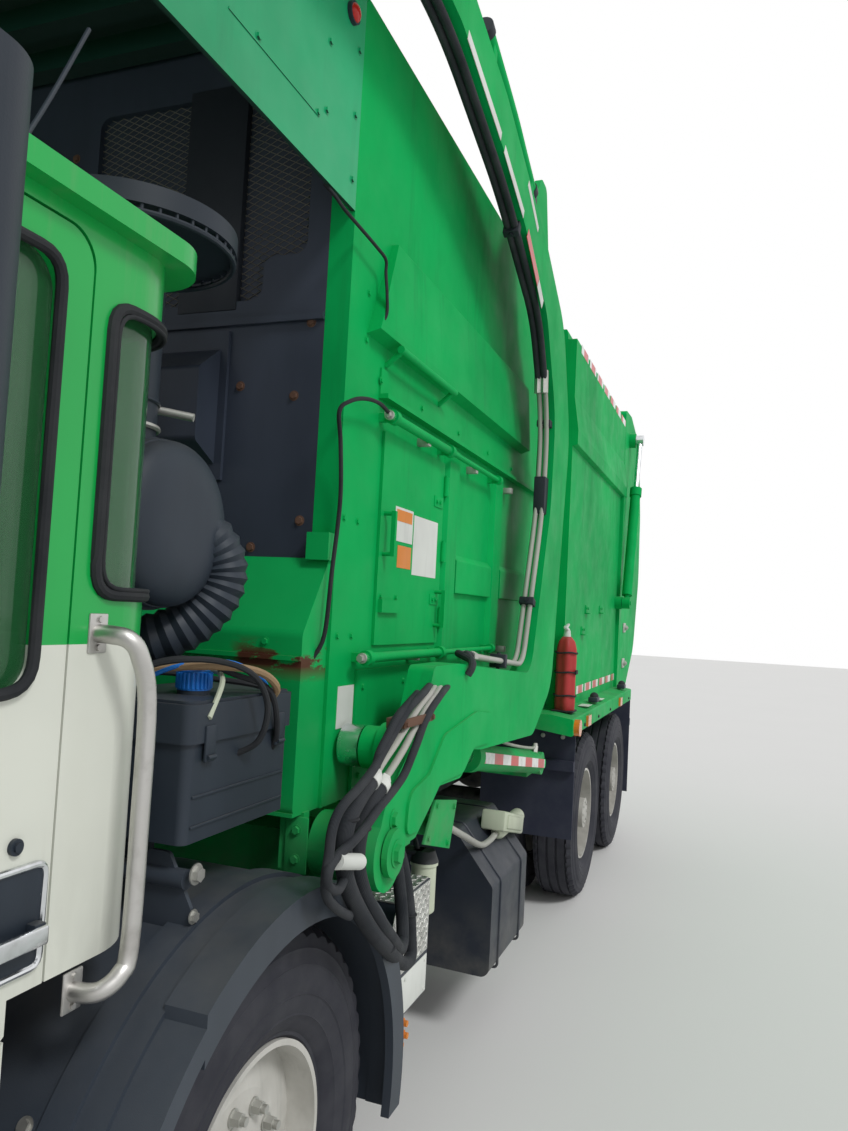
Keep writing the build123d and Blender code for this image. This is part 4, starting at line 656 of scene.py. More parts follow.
def cab_gaskets():
    """Rubber sections that hold the panes, with a filler strip inside each."""
    for name, out, radius, s in (
        ("cab_window_gaskets", 0.002, 0.011, 0.0), ("cab_gasket_fillers", 0.008, 0.0045, 0.01),
    ):
        form = Form()
        side = divided(rounded(at(0, rectangle(0.06 + s, 0.39 - s, 1.8 + s, 2.3 - s)), 0.05), 0.015)
        quarter = [(*cab_skin(p.x, out), p.z) for p in side]
        form.tube(quarter, radius, 10, True)
        form.tube([(x, -y, z) for x, y, z in quarter], radius, 10, True)
        front = divided(rounded(across(0, rectangle(s - 0.99, 0.99 - s, 1.52 + s, 2.36 - s)), 0.06), 0.04)
        form.tube([(screen_x(p.z) + out, p.y, p.z) for p in front], radius, 10, True)
        rear = across(CAB_REAR_X - out, rectangle(s - 0.43, 0.43 - s, 1.8 + s, 2.28 - s))
        form.tube(rounded(rear, 0.05), radius, 10, True)
        form.piece(name, "rubber")
    corners = ((2.96, 1.65), (3.99, 1.55), (3.99, 1.86), (3.92, 2.33), (2.96, 2.33))
    Form().tube(rounded(at(1.103, corners), 0.05), 0.01, 10, True).both("door_gasket_%", "rubber", "door_%")


def hinge_barrels(x, y, heights, parts):
    """Upright hinges, each of rods given by half their length and their radius."""
    form = Form()
    for z in heights:
        for half, radius in parts:
            form.rod((x, y, z - half), (x, y, z + half), radius)
    return form


def cab_handles():
    """Grab handles behind the doors, door pulls and locks, and hinge barrels on the doors' edge."""
    form = Form().tube(smooth([
        (2.822, 1.098, 1.734), (2.82, 1.13, 1.733), (2.812, 1.158, 1.727), (2.795, 1.17, 1.7),
        (2.77, 1.172, 1.62), (2.768, 1.172, 1.42), (2.772, 1.172, 1.21), (2.79, 1.17, 1.17),
        (2.812, 1.155, 1.15), (2.82, 1.13, 1.143), (2.822, 1.098, 1.142),
    ], 5), 0.016, 14)
    for z in (1.734, 1.142):
        form.box((2.8, 2.844), (1.098, 1.104), span(z, 0.034), 0.003)
        form.bolts(at(1.103, ((2.822, z + 0.024), (2.822, z - 0.024))), OUT, 0.006, 0.005)
    form.pair("cab_grab_handles", "steel")
    x, z = (2.905, 3.07), (1.215, 1.375)
    form = Form().tube(rounded(at(1.104, rectangle(*x, *z)), 0.02), 0.006, 10, True)
    form.box((2.915, 3.055), (1.122, 1.132), (1.255, 1.285), 0.004).both("door_handle_%", "chrome", "door_%")
    form = Form().box(x, (1.097, 1.104), z, 0.003)
    for foot in (2.925, 3.045):
        form.box(span(foot, 0.012), (1.102, 1.124), (1.252, 1.288), 0.004)
    form.rod((2.968, 1.098, 1.411), (2.968, 1.107, 1.411), 0.013)
    form.rod((2.968, 1.1, 1.411), (2.968, 1.111, 1.411), 0.007)
    form.both("door_handle_base_%", "plastic", "door_%")
    form = hinge_barrels(4.09, 1.101, (1.02, 1.44, 2.2), ((0.045, 0.011), (0.049, 0.006)))
    form.both("door_hinge_pins_%", "cab")


def cab_front():
    """Wipers, grille slats, lamp bezels and lenses, roof marker lamps and the aerial."""
    form = Form()
    x = screen_x(1.5) + 0.004
    for y in (0.62, 0.02):
        form.rod((x - 0.01, y, 1.485), (x + 0.018, y, 1.485), 0.018)
        form.rod((x + 0.016, y, 1.485), (screen_x(1.82) + 0.022, y - 0.5, 1.82), 0.007, 12, 0.005)
        blade = [(screen_x(1.82 + t) + 0.014, y - 0.5 + t * 0.35, 1.82 + t) for t in (-0.27, -0.1, 0.1, 0.27)]
        form.tube(blade, 0.006, 8)
    form.piece("wipers", "plastic")
    form = Form()
    for k in range(15):
        z = 1.0 + k * 0.028
        form.box((4.336, 4.352), (-0.58, 0.58), (z, z + 0.012), 0.003, about("Y", 14))
    for y in (-0.58, -0.2, 0.2, 0.58):
        form.box((4.334, 4.35), span(y, 0.012), (0.985, 1.42), 0.003)
    form.piece("grille_slats", "plastic")
    bezels, lenses, lamps, bases = Form(), Form(), Form(), Form()
    for y in (-0.84, 0.84):
        bezels.tube(rounded(across(4.343, rectangle(*span(y, 0.165), 0.845, 1.055)), 0.03), 0.012, 10, True)
        for low, high in ((y - 0.115, y - 0.005), (y + 0.005, y + 0.115)):
            middle = (low + high) / 2
            lenses.rod((4.374, middle, 0.95), (4.386, middle, 0.95), 0.052, 32, 0.044)
    bezels.piece("headlamp_bezels", "plastic")
    lenses.piece("headlamp_lenses", "lamps")
    for y in (-0.9, -0.28, 0.0, 0.28, 0.9):
        lamps.ball((3.9, y, 2.468), 0.03, (1.5, 1.0, 0.75))
        bases.box((3.845, 3.955), span(y, 0.038), (2.458, 2.474), 0.005)
    lamps.piece("roof_markers", "lamp_amber")
    bases.piece("roof_marker_bases", "plastic")
    form = Form().rod((3.02, 1.05, 2.458), (3.02, 1.05, 2.482), 0.02, 20, 0.012)
    form.tube(smooth(at(1.05, ((3.02, 2.475), (2.96, 2.6), (2.89, 2.76))), 5), 0.004, 8)
    form.ball((3.018, 1.05, 2.484), 0.012).piece("cab_aerial", "plastic")


# Hopper

def hopper_side():
    """Blank labels, hinge barrels, bolts, cables, rod ends and clips on the hopper's walls."""
    form = Form().box((1.335, 1.49), DOOR_LABEL_Y, (2.02, 2.13))
    form.box((1.09, 1.325), DOOR_LABEL_Y, (1.92, 2.12)).piece("hopper_door_labels", "label", "hopper_door")
    form = Form().box((1.345, 1.48), (1.0785, 1.081), (2.085, 2.122))
    form.box((1.34, 1.458), DOOR_LABEL_Y, (1.936, 2.008))
    form.piece("hopper_door_orange_labels", "orange", "hopper_door")
    Form().box((1.713, 1.817), (1.0685, 1.0716), (1.46, 1.578)).piece("hopper_post_label", "label")
    form = hinge_barrels(1.035, 1.085, (1.78, 2.02, 2.26), ((0.035, 0.0105), (0.04, 0.005)))
    form.piece("hopper_door_hinges", "green")
    form = Form()
    for z in (1.845, 2.195):
        form.box((1.05, 1.14), (1.078, 1.083), span(z, 0.02), 0.002)
        form.bolts(at(1.0828, ((1.085, z), (1.12, z))), OUT, 0.007, 0.006)
    form.bolts(at(1.079, ((1.452, 1.84), (1.575, 1.84))), OUT, 0.007, 0.006)
    form.piece("hopper_door_straps", "green", "hopper_door")
    form = Form()
    for x, z in ((1.75, 1.72), (1.84, 1.72), (1.75, 2.05), (1.84, 2.05), (1.76, 2.72), (1.76, 2.58),
                 (1.04, 1.31), (1.35, 1.31), (1.67, 1.31), (1.04, 1.57), (1.35, 1.57), (1.67, 1.57),
                 (0.1, 2.49), (0.5, 2.49), (0.9, 2.49), (1.3, 2.49), (1.65, 2.49)):
        y = side_face("hopper_side_left", x, z) - 0.001
        for side, word in SIDES:
            form.bolt((x, side * y, z), (0, side, 0), 0.0085, 0.007)
    form.piece("hopper_side_bolts", "green")
    form = Form().tube(smooth([
        (2.03, 1.05, 2.915), (2.02, 1.078, 2.885), (2.0, 1.1, 2.853), (1.9, 1.102, 2.846),
        (1.8, 1.106, 2.836), (1.735, 1.107, 2.826), (1.722, 1.104, 2.79), (1.722, 1.112, 2.72),
        (1.722, 1.112, 2.66), (1.735, 1.08, 2.62),
    ], 6), 0.005, 8)
    form.tube(smooth([
        (1.66, 1.117, 2.381), (1.75, 1.12, 2.393), (1.85, 1.12, 2.382), (1.93, 1.115, 2.356),
        (1.965, 1.1, 2.32), (1.93, 1.092, 2.238), (1.905, 1.088, 2.087), (1.926, 1.086, 1.896),
        (1.938, 1.08, 1.722), (1.95, 1.05, 1.65), (1.958, 1.04, 1.596),
    ], 6), 0.006, 8)
    form.piece("hopper_cables", "rubber")
    form = Form()
    for z, x in ((2.38, 1.655), (1.658, 1.755)):
        form.rod((x - 0.05, 1.115, z), (x + 0.012, 1.115, z), 0.015, 20)
        form.rod((x + 0.01, 1.115, z), (x + 0.028, 1.115, z), 0.01, 6)
    form.piece("side_rod_fittings", "zinc")
    form = Form()
    for x in (0.2, 0.75, 1.3):
        for z in (2.38, 1.658):
            y = side_face("hopper_side_left", x, z - 0.03) - 0.002
            form.box(span(x, 0.014), (y, 1.113), (z - 0.022, z + 0.004), 0.003)
    form.pair("side_rod_clips", "zinc")


def hopper_front():
    """Wire lattice, posts, bolts and brackets of the hopper's front, and the canopy's bolts and lamps."""
    wires = Form()
    for low_y, high_y, low_z, high_z in ((0.15, 0.785, 2.68, 3.32), (0.785, 0.925, 2.805, 3.32)):
        for slope, x in ((0.5, 1.8605), (-0.5, 1.8625)):
            for k in range(91):
                level = 2.0 + WIRE_STEP * k
                crossings = sorted(((low_z - level) / slope, (high_z - level) / slope))
                start, end = max(low_y, crossings[0]), min(high_y, crossings[1])
                if end - start > 0.003:
                    wires.rod((x, start, level + slope * start), (x, end, level + slope * end), 0.0014, 4)
    wires.pair("screen_wires", "wire")
    Form().box((1.856, 1.884), (0.495, 0.7), (2.655, 3.345), 0.003).pair("screen_posts", "black")
    places = ((0.732, 2.426), (0.911, 2.391), (0.953, 2.035), (0.8, 1.957), (0.953, 2.6), (0.3, 2.426),
              (0.953, 1.8), (0.3, 1.957), (0.55, 1.957), (0.06, 2.9), (0.06, 3.2), (0.06, 2.6))
    Form().bolts(across(1.879, places), AHEAD, 0.011, 0.008).pair("screen_bolts", "rusty")
    places = ((2.412, 3.063), (2.079, 3.271), (1.91, 3.355), (2.124, 3.055), (2.078, 3.087), (1.913, 3.168),
              (1.91, 2.986), (2.7, 3.063), (3.0, 3.063), (2.6, 3.4), (3.0, 3.4), (3.28, 3.4))
    form = Form().bolts([(x, side_face("canopy", x, z) - 0.001, z) for x, z in places], OUT, 0.009, 0.007)
    form.box((2.12, 2.53), (1.069, 1.072), (3.045, 3.05)).pair("canopy_bolts", "canopy")
    Form().rod((1.968, 1.066, 3.424), (1.968, 1.082, 3.424), 0.03, 24).pair("canopy_lamp_bases", "plastic")
    Form().ball((1.968, 1.08, 3.424), 0.025, (1, 0.55, 1)).pair("canopy_marker_lamps", "lamp_red")
    form = Form()
    for run in (3.2, 3.28, 3.36):
        y = 1.07 - (run - 3.2) * 1.2
        form.rod((3.352, y, 3.49), (3.36, y, 3.49), 0.02, 20)
    form.pair("canopy_front_lamps", "lamp_amber")
    form = Form().box((1.971, 1.977), (1.02, 1.085), (1.105, 1.25), 0.002)
    form.bolts(across(1.976, ((1.052, 1.14), (1.052, 1.215))), AHEAD, 0.011, 0.009)
    form.pair("hopper_front_brackets", "bulge")
    places = [(2.0195, y, z) for y in (0.2, 0.45, 0.7, 0.95) for z in (1.7, 1.3)]
    Form().bolts(places, AHEAD, 0.009, 0.007).pair("hopper_front_bolts", "bulge")


# Behind the cab

def intake_body():
    """The intake's housing, its outboard end drawn in, and the corrugated elbow beside it."""
    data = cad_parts["air_intake"].data.copy()
    for vertex in data.vertices:
        if vertex.co.y > INTAKE_DRAWN_FROM and vertex.co.z < INTAKE_CAP_Z:
            vertex.co.y = INTAKE_DRAWN_FROM + (vertex.co.y - INTAKE_DRAWN_FROM) * INTAKE_DRAWN
    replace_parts(show("air_intake_housing", data, "plastic"), "air_intake")
    line = smooth([
        (2.36, 0.86, 1.99), (2.28, 0.93, 1.95), (2.245, 0.955, 1.87), (2.265, 0.93, 1.78), (2.32, 0.85, 1.71),
        (2.4, 0.7, 1.67), (2.45, 0.56, 1.64),
    ])
    Form().tube(line, lambda i: 0.062 if i % 2 else 0.055, 20).piece("intake_elbow", "plastic", sharp=20)


def air_intake():
    """Ribs and louvres of the air intake, and the clamps and fittings on its duct."""
    form = Form()
    for y in (0.665, 0.7, 0.735, 0.77, 0.89, 0.905):
        form.tube(at(y, flat(*DRUM, 0.185, 48)), 0.0045, 6, True)
    for z in (2.25, 2.42):
        form.tube(level_ring(*DUCT, z, 0.089, 36), 0.005, 6, True)
    for x, y in flat(*DUCT, 0.238, 40):
        form.rod((x, y, 2.6), (x, y, 2.642), 0.0045, 6)
    form.tube(level_ring(*DUCT, 2.602, 0.238, 48), 0.007, 8, True).piece("intake_ribs", "plastic")
    form = Form()
    for z in (2.19, 2.54):
        form.tube(level_ring(*DUCT, z, 0.091, 36), 0.007, 6, True)
        form.rod((2.475, 0.8, z), (2.505, 0.845, z), 0.006, 12)
        form.bolt((2.5, 0.838, z), (0.55, 0.83, 0), 0.007, 0.008)
    form.rod((2.345, 0.79, 2.246), (2.3, 0.885, 2.231), 0.01, 16)
    form.rod((2.41, 0.835, 2.24), (2.34, 0.79, 2.246), 0.006, 12)
    form.piece("intake_clamps", "zinc")


BOX_LINES = {
    "box_lines": ("rubber", 0.007, (
        ((2.5, 0.86, 1.55), (2.5, 0.9, 1.63), (2.44, 1.0, 1.672), (2.36, 1.08, 1.64), (2.27, 1.12, 1.6),
         (2.22, 1.115, 1.5), (2.2, 1.08, 1.44)),
        ((2.53, 0.9, 1.56), (2.52, 0.96, 1.65), (2.46, 1.06, 1.675), (2.38, 1.13, 1.65), (2.33, 1.15, 1.58),
         (2.34, 1.14, 1.5), (2.36, 1.08, 1.46)),
        ((2.2, 0.88, 1.59), (2.24, 0.94, 1.635), (2.32, 0.99, 1.65), (2.42, 0.94, 1.645), (2.49, 0.88, 1.59)),
        ((2.46, 0.84, 1.59), (2.38, 0.88, 1.63), (2.3, 0.98, 1.62), (2.25, 1.06, 1.61), (2.2, 1.09, 1.592)),
    )),
    "box_tan_line": ("tan", 0.009, (
        ((2.53, 0.86, 1.58), (2.49, 0.93, 1.64), (2.43, 1.06, 1.66), (2.33, 1.12, 1.648), (2.26, 1.13, 1.61),
         (2.235, 1.1, 1.575)),
    )),
    "box_blue_line": ("blue", 0.005, (
        ((2.52, 0.88, 1.585), (2.47, 1.0, 1.655), (2.38, 1.075, 1.668), (2.29, 1.105, 1.63),
         (2.24, 1.105, 1.585)),
    )),
    "box_white_line": ("pale", 0.006, (
        ((2.25, 0.87, 1.6), (2.33, 1.0, 1.64), (2.42, 1.09, 1.63), (2.49, 1.11, 1.56)),
    )),
}


def fluid_box():
    """Ribbed filler cap, lid catches and the small lines over the box behind the cab."""
    form = Form()
    for x, y in flat(*CAP_PLACE, 0.036, 24):
        form.rod((x, y, 1.608), (x, y, 1.642), 0.004, 6)
    form.rod((*CAP_PLACE, 1.604), (*CAP_PLACE, 1.645), 0.0365, 36, 0.034)
    form.rod((*CAP_PLACE, 1.644), (*CAP_PLACE, 1.65), 0.026, 24, 0.022)
    form.piece("fluid_cap", "blue")
    form = Form()
    for x in (2.2, 2.48):
        form.box(span(x, 0.018), (1.106, 1.113), (1.47, 1.545), 0.003)
        form.rod((x - 0.014, 1.115, 1.48), (x + 0.014, 1.115, 1.48), 0.005, 12)
    for z in (1.34, 1.4):
        form.box((2.16, 2.52), (1.099, 1.104), (z, z + 0.005), 0.001)
    form.piece("fluid_box_catches", "plastic")
    for name, (material, radius, lines) in BOX_LINES.items():
        form = Form()
        for line in lines:
            form.tube(smooth(line, 6), radius, 8)
        form.piece(name, material)


def fender_fixings():
    """Bolts that hold the front fenders."""
    form = Form().bolt((2.5, 1.108, 1.249), OUT, 0.016, 0.014).bolt((2.5, 1.108, 1.165), OUT, 0.011, 0.01)
    axle_x, axle_z, radius = FRONT_FENDER
    for turn in (35, 75, 120):
        c, s = cos(radians(turn)), sin(radians(turn))
        x, z = axle_x + radius * c - 0.001 * c, axle_z + radius * s - 0.001 * s
        form.bolts([(x, 0.88, z), (x, 1.02, z)], (c, 0, s), 0.012, 0.009)
    form.pair("fender_bolts", "zinc")


# Arms

ARM_RUN = (
    (1.12, 1.653, 0), (0.418, 1.597, 0.14), (0.163, 2.3, 0.4), (0.142, 2.715, 0.37), (0.4, 3.1, 0.22),
    (1.01, 3.368, 0.27), (1.66, 3.538, 0.27), (2.9, 3.558, 0.27), (3.78, 3.668, 0),
)


def arm_line(y):
    """Line of the pipes along the inner edge of an arm."""
    return rounded([(x, y, z) for x, z, radius in ARM_RUN], [run[2] * 0.6 for run in ARM_RUN], 8, False)


def split_line(line, height):
    """The line's part before it first reaches a height, and its part after."""
    for i, (one, two) in enumerate(zip(line, line[1:])):
        if one.z <= height < two.z:
            cut = one.lerp(two, (height - one.z) / (two.z - one.z))
            return line[:i + 1] + [cut], [cut] + line[i + 1:]


def arm_tape(name, material, strips):
    """Thin tape on the arm's outer face, each strip from one X, Z place to another, at a width."""
    form = Form()
    for start, end, width in strips:
        start, end = (Vector((x, 0, z)) for x, z in (start, end))
        side = Vector(OUT).cross(end - start).normalized() * width / 2
        corners = [start + side, start - side, end - side, end + side]
        form.plate([(c.x, ARM_OUT_Y - 0.0005, c.z) for c in corners], 0.0018)
    form.pair(name, material, "arms")


def arm_details():
    """Pipes, hoses, clamps, tapes and bolts on the arms."""
    pipes, hoses, clamps, fittings = Form(), Form(), Form(), Form()
    for y in (1.222, 1.25):
        line = arm_line(y)
        steel, soft = split_line(line, PIPES_END_Z)
        pipes.tube(steel, 0.011, 12)
        hoses.tube(soft, 0.0145, 12)
        fittings.rod(steel[-1] - Vector((0, 0, 0.05)), steel[-1] + Vector((0.01, 0, 0.05)), 0.0185, 6)
        fittings.rod(line[0], line[0] + Vector((0.04, 0, 0.003)), 0.0175, 6)
        start, end = line[0] + Vector((0.035, 0, 0.003)), line[-1]
        turn = [start, start + Vector((0.06, 0.0, 0.008)), start + Vector((0.11, 1.285 - y, -0.01))]
        hoses.tube(smooth(turn + [(start.x + 0.14, 1.298, 1.625), (start.x + 0.15, 1.288, 1.6)], 5), 0.0125)
        hoses.tube(smooth([end, end + Vector((0.04, 0.0, 0.02)), end + Vector((0.06, -0.01, 0.06))], 5), 0.0145)
    pipes.pair("arm_pipes", "pipe", "arms")
    hoses.pair("arm_hoses", "hose", "arms")
    fittings.pair("arm_fittings", "zinc", "arms")
    for x, z, degrees in ((0.142, 2.69, 90), (0.32, 1.865, 70), (0.85, 3.296, -22), (0.75, 1.624, -4),
                          (1.9, 3.54, 0), (2.6, 3.553, 0), (3.3, 3.61, -7)):
        turn = about("Y", degrees)
        clamps.box(span(x, 0.016), (1.204, 1.268), span(z, 0.026), 0.004, turn)
        for sign in (1, -1):
            reach = turn @ Vector((0, 0, sign))
            clamps.bolt(Vector((x, 1.236, z)) + reach * 0.024, reach, 0.008, 0.008)
    clamps.box((0.11, 0.19), (1.21, 1.262), (2.27, 2.44), 0.004).pair("arm_clamps", "black", "arms")
    arm_tape("arm_red_tape", "lamp_red", (((0.57, 3.19), (0.776, 3.31), 0.05),))
    arm_tape("arm_white_tape", "label", (
        ((0.475, 3.13), (0.566, 3.187), 0.05), ((0.61, 3.395), (0.8, 3.5), 0.03),
        ((0.85, 3.35), (1.15, 3.45), 0.035), ((1.2, 3.468), (1.6, 3.57), 0.035),
    ))
    form = Form().bolt((1.873, ARM_OUT_Y - 0.001, 1.252), OUT, 0.02, 0.014)
    form.bolt((1.89, 1.299, 1.17), OUT, 0.026, 0.016).pair("arm_pivot_bolts", "green", "arms")
    run = ((0.674, 3.53), (0.85, 3.597), (1.02, 3.66), (1.353, 3.752))
    form = Form().tube(smooth(at(ARM_TUBE_Y, run), 5), 0.032, 20)
    for x, z in ((0.72, 3.535), (1.3, 3.72)):
        form.box(span(x, 0.02), span(ARM_TUBE_Y, 0.028), (z - 0.09, z + 0.03), 0.004)
    form.pair("arm_top_tubes", "green", "arms")
    form = Form().rod(*at(ARM_TUBE_Y, ((0.66, 3.525), (0.69, 3.536))), 0.037)
    form.rod(*at(ARM_TUBE_Y, ((1.34, 3.748), (1.375, 3.758))), 0.037)
    form.box((0.6, 0.68), span(ARM_TUBE_Y, 0.018), (3.43, 3.54), 0.005)
    form.pair("arm_top_tube_ends", "black", "arms")


PIVOT_PIPES = (
    (
        (1.576, 1.27, 1.579), (1.699, 1.3, 1.569), (1.782, 1.306, 1.546), (1.846, 1.306, 1.515),
        (1.895, 1.306, 1.489), (1.95, 1.306, 1.461), (2.017, 1.306, 1.43), (2.064, 1.306, 1.406),
    ),
    (
        (1.522, 1.27, 1.575), (1.643, 1.3, 1.565), (1.727, 1.306, 1.538), (1.78, 1.306, 1.508),
        (1.828, 1.306, 1.481), (1.88, 1.306, 1.446), (1.951, 1.306, 1.408), (2.006, 1.306, 1.383),
    ),
)

PIVOT_LINES = (
    (
        (1.615, 1.27, 1.584), (1.782, 1.31, 1.576), (1.891, 1.318, 1.551), (1.96, 1.32, 1.519),
        (2.016, 1.32, 1.485), (2.069, 1.32, 1.453), (2.116, 1.32, 1.423), (2.199, 1.322, 1.394),
        (2.273, 1.325, 1.376), (2.319, 1.328, 1.356), (2.344, 1.33, 1.326), (2.346, 1.328, 1.281),
        (2.347, 1.324, 1.23), (2.327, 1.32, 1.188), (2.262, 1.314, 1.143), (2.183, 1.308, 1.103),
    ),
    (
        (1.457, 1.27, 1.571), (1.628, 1.31, 1.562), (1.734, 1.32, 1.53), (1.793, 1.322, 1.495),
        (1.83, 1.322, 1.457), (1.868, 1.32, 1.417), (1.915, 1.32, 1.379), (1.982, 1.322, 1.354),
        (2.097, 1.33, 1.329), (2.175, 1.335, 1.306), (2.251, 1.338, 1.288), (2.322, 1.335, 1.273),
        (2.355, 1.333, 1.25), (2.34, 1.328, 1.215), (2.28, 1.322, 1.19), (2.235, 1.316, 1.205),
    ),
    (
        (1.794, 1.3, 1.576), (1.889, 1.31, 1.555), (1.974, 1.315, 1.529), (2.024, 1.315, 1.492),
        (2.072, 1.315, 1.456), (2.09, 1.315, 1.424),
    ),
)

PIVOT_HOSES = (
    (
        (2.101, 1.306, 1.387), (2.145, 1.308, 1.372), (2.192, 1.312, 1.353), (2.23, 1.315, 1.331),
        (2.248, 1.316, 1.303), (2.25, 1.316, 1.261), (2.229, 1.314, 1.207), (2.187, 1.312, 1.152),
        (2.113, 1.308, 1.083), (2.018, 1.302, 1.007), (1.897, 1.288, 0.93), (1.664, 1.228, 0.81),
        (1.44, 1.172, 0.706), (1.348, 1.155, 0.695), (1.344, 1.15, 0.754), (1.364, 1.15, 0.83),
        (1.385, 1.145, 0.912), (1.411, 1.14, 0.98), (1.435, 1.135, 1.031), (1.451, 1.13, 1.057),
    ),
    (
        (2.043, 1.306, 1.364), (2.073, 1.306, 1.345), (2.11, 1.306, 1.317), (2.139, 1.306, 1.289),
        (2.153, 1.306, 1.253), (2.151, 1.306, 1.219), (2.135, 1.306, 1.176), (2.094, 1.306, 1.119),
        (2.03, 1.304, 1.061), (1.942, 1.298, 0.994), (1.818, 1.275, 0.918), (1.575, 1.2, 0.802),
        (1.456, 1.165, 0.772), (1.433, 1.155, 0.815), (1.444, 1.15, 0.892), (1.457, 1.145, 0.955),
        (1.473, 1.14, 1.011), (1.487, 1.135, 1.051), (1.489, 1.13, 1.066),
    ),
)


ARM_PIVOT = ("root", "arms", (1.9, 1.3, 1.07), (1.93, 1.3, 1.46))


def pivot_hoses():
    """Pipes and hoses that cross each arm's pivot, held at both ends."""
    for name, material, radius, lines in (
        ("pivot_pipes_%", "pipe", 0.0095, PIVOT_PIPES), ("pivot_lines_%", "hose", 0.011, PIVOT_LINES),
        ("pivot_hoses_%", "hose", 0.0205, PIVOT_HOSES),
    ):
        form = Form()
        for line in lines:
            form.tube(smooth(line, 5), radius, 12)
        form.both(name, material, ARM_PIVOT)
    form = Form()
    for pipe, hose in zip(PIVOT_PIPES, PIVOT_HOSES):
        middle = Vector(pipe[-1]).lerp(Vector(hose[0]), 0.45)
        form.rod(pipe[-1], middle, 0.0165, 6).rod(middle, hose[0], 0.0225)
    form.rod((2.323, 1.335, 1.264), (2.203, 1.335, 1.233), 0.018).both("pivot_fittings_%", "label", ARM_PIVOT)
    form = Form()
    one, two = PIVOT_HOSES
    for place in (one[3], one[10], two[3], one[15]):
        form.tube(level_ring(*place, 0.022, 16), 0.004, 6, True)
    form.both("pivot_hose_ties_%", "rubber", ARM_PIVOT)
    form = Form().box((1.62, 1.94), (1.272, 1.288), (1.495, 1.523), 0.003)
    form.box((1.715, 1.93), (1.316, 1.322), (1.497, 1.521), 0.002)
    for x in (1.725, 1.92):
        form.box(span(x, 0.008), (1.285, 1.32), (1.497, 1.521), 0.002)
        form.bolt((x, 1.321, 1.509), OUT, 0.008, 0.007)
    form.both("pivot_clamp_%", "rusty", "arms")
    Form().box((1.4, 1.63), (1.06, 1.155), (1.062, 1.108), 0.004).both("hose_manifold_%", "green")
    form = Form()
    for x in (1.451, 1.489):
        form.rod((x, 1.13, 1.03), (x, 1.13, 1.066), 0.022, 6)
    form.both("hose_ports_%", "zinc")


def lift_details():
    """Tape, ports and a pipe on the lift cylinders."""
    def along(run, x=0.0, z=0.0):
        return LIFT_PIN[0] + run * cos(LIFT_SLOPE) + x, 1.115, LIFT_PIN[1] + run * sin(LIFT_SLOPE) + z

    x, y, z = along(0.64)
    tape = Form().box(span(x, 0.58), (1.163, 1.1715), span(z, 0.022), 0.0, Matrix.Rotation(-LIFT_SLOPE, 4, "Y"))
    tape.pair("lift_cylinder_tape", "tape", "lift_barrels")
    ports = Form()
    for run in (0.06, 1.24):
        ports.rod(along(run, 0, 0.05), along(run, -0.012, 0.085), 0.017, 6)
        ports.rod(along(run, -0.008, 0.07), along(run, -0.016, 0.097), 0.012, 12)
    ports.pair("lift_cylinder_ports", "zinc", "lift_barrels")
    start, end = Vector(along(0.07, -0.014, 0.092)), Vector(along(1.235, -0.016, 0.094))
    line = [end, end + Vector((-0.05, 0, 0.006)), (start + end) / 2 + Vector((0, 0, -0.022)),
            start + Vector((0.07, 0, -0.01)), start]
    Form().tube(smooth(line), 0.008).pair("lift_cylinder_pipe", "pipe", "lift_barrels")


# Wheels

def tyre_rings(radius, half):
    """Closed section of a treaded tyre inside the CAD tyre, from bead to bead."""
    def notched(r, deep, every=3, lag=0):
        return lambda k: r - deep if (k + lag) % every == 0 else r

    side = [
        (0.2906, 0.045), (0.297, 0.038), (0.305, 0.037), (0.311, 0.03), (0.33, 0.02), (0.34, 0.0145),
        (0.343, 0.0115), (0.347, 0.013), (0.365, 0.0085), (0.385, 0.0065), (0.389, 0.0035), (0.393, 0.0055),
        (0.407, 0.003), (radius - 0.117, 0.003), (radius - 0.09, 0.0098), (radius - 0.086, 0.0075),
        (radius - 0.08, 0.0118), (radius - 0.06, 0.0158), (radius - 0.052, 0.0142), (radius - 0.047, 0.0178),
    ]
    shoulder = [
        (notched(radius - 0.036, 0.004), 0.02), (notched(radius - 0.021, 0.009), 0.0228),
        (notched(radius - 0.008, 0.014), 0.0398), (notched(radius - 0.0006, 0.014), 0.052),
    ]
    ground = radius - 0.0002
    groove = ground - 0.013
    ribs = []
    for inset in (half - half * 0.62, half - half * 0.2):
        ribs += [(notched(ground, 0.004, 2), inset - 0.008), (groove, inset - 0.0045),
                 (groove, inset + 0.0045), (notched(ground, 0.004, 2, 1), inset + 0.008)]
    outer = [(r, half - inset) for r, inset in side + shoulder + ribs]
    return outer + [(r, -y) for r, y in reversed(outer)]


# Tyre radius, half its width, its middles, rim face, circle of the hub's bolts and hub face
FRONT_WHEEL = (0.538, 0.1575, (1.05,), 1.118, 0.075 * 0.72, 1.195)
REAR_WHEEL = (0.525, 0.14, (1.06, 0.725), 0.988, 0.095 * 0.72, 1.1725)
AXLES = (
    ("front", "tyre_front", 2.3, FRONT_WHEEL),
    ("middle", "tyres_middle", -1.811, REAR_WHEEL),
    ("rear", "tyres_rear", -3.161, REAR_WHEEL),
)
NUT_CIRCLE = 0.143

# Washer, nut and stud: from, to, radius, sides and end radius
NUT = ((-0.002, 0.004, 0.02, 20, 0.02), (0.003, 0.024, 0.0165, 6, 0.0155), (0.02, 0.036, 0.01, 12, 0.01))


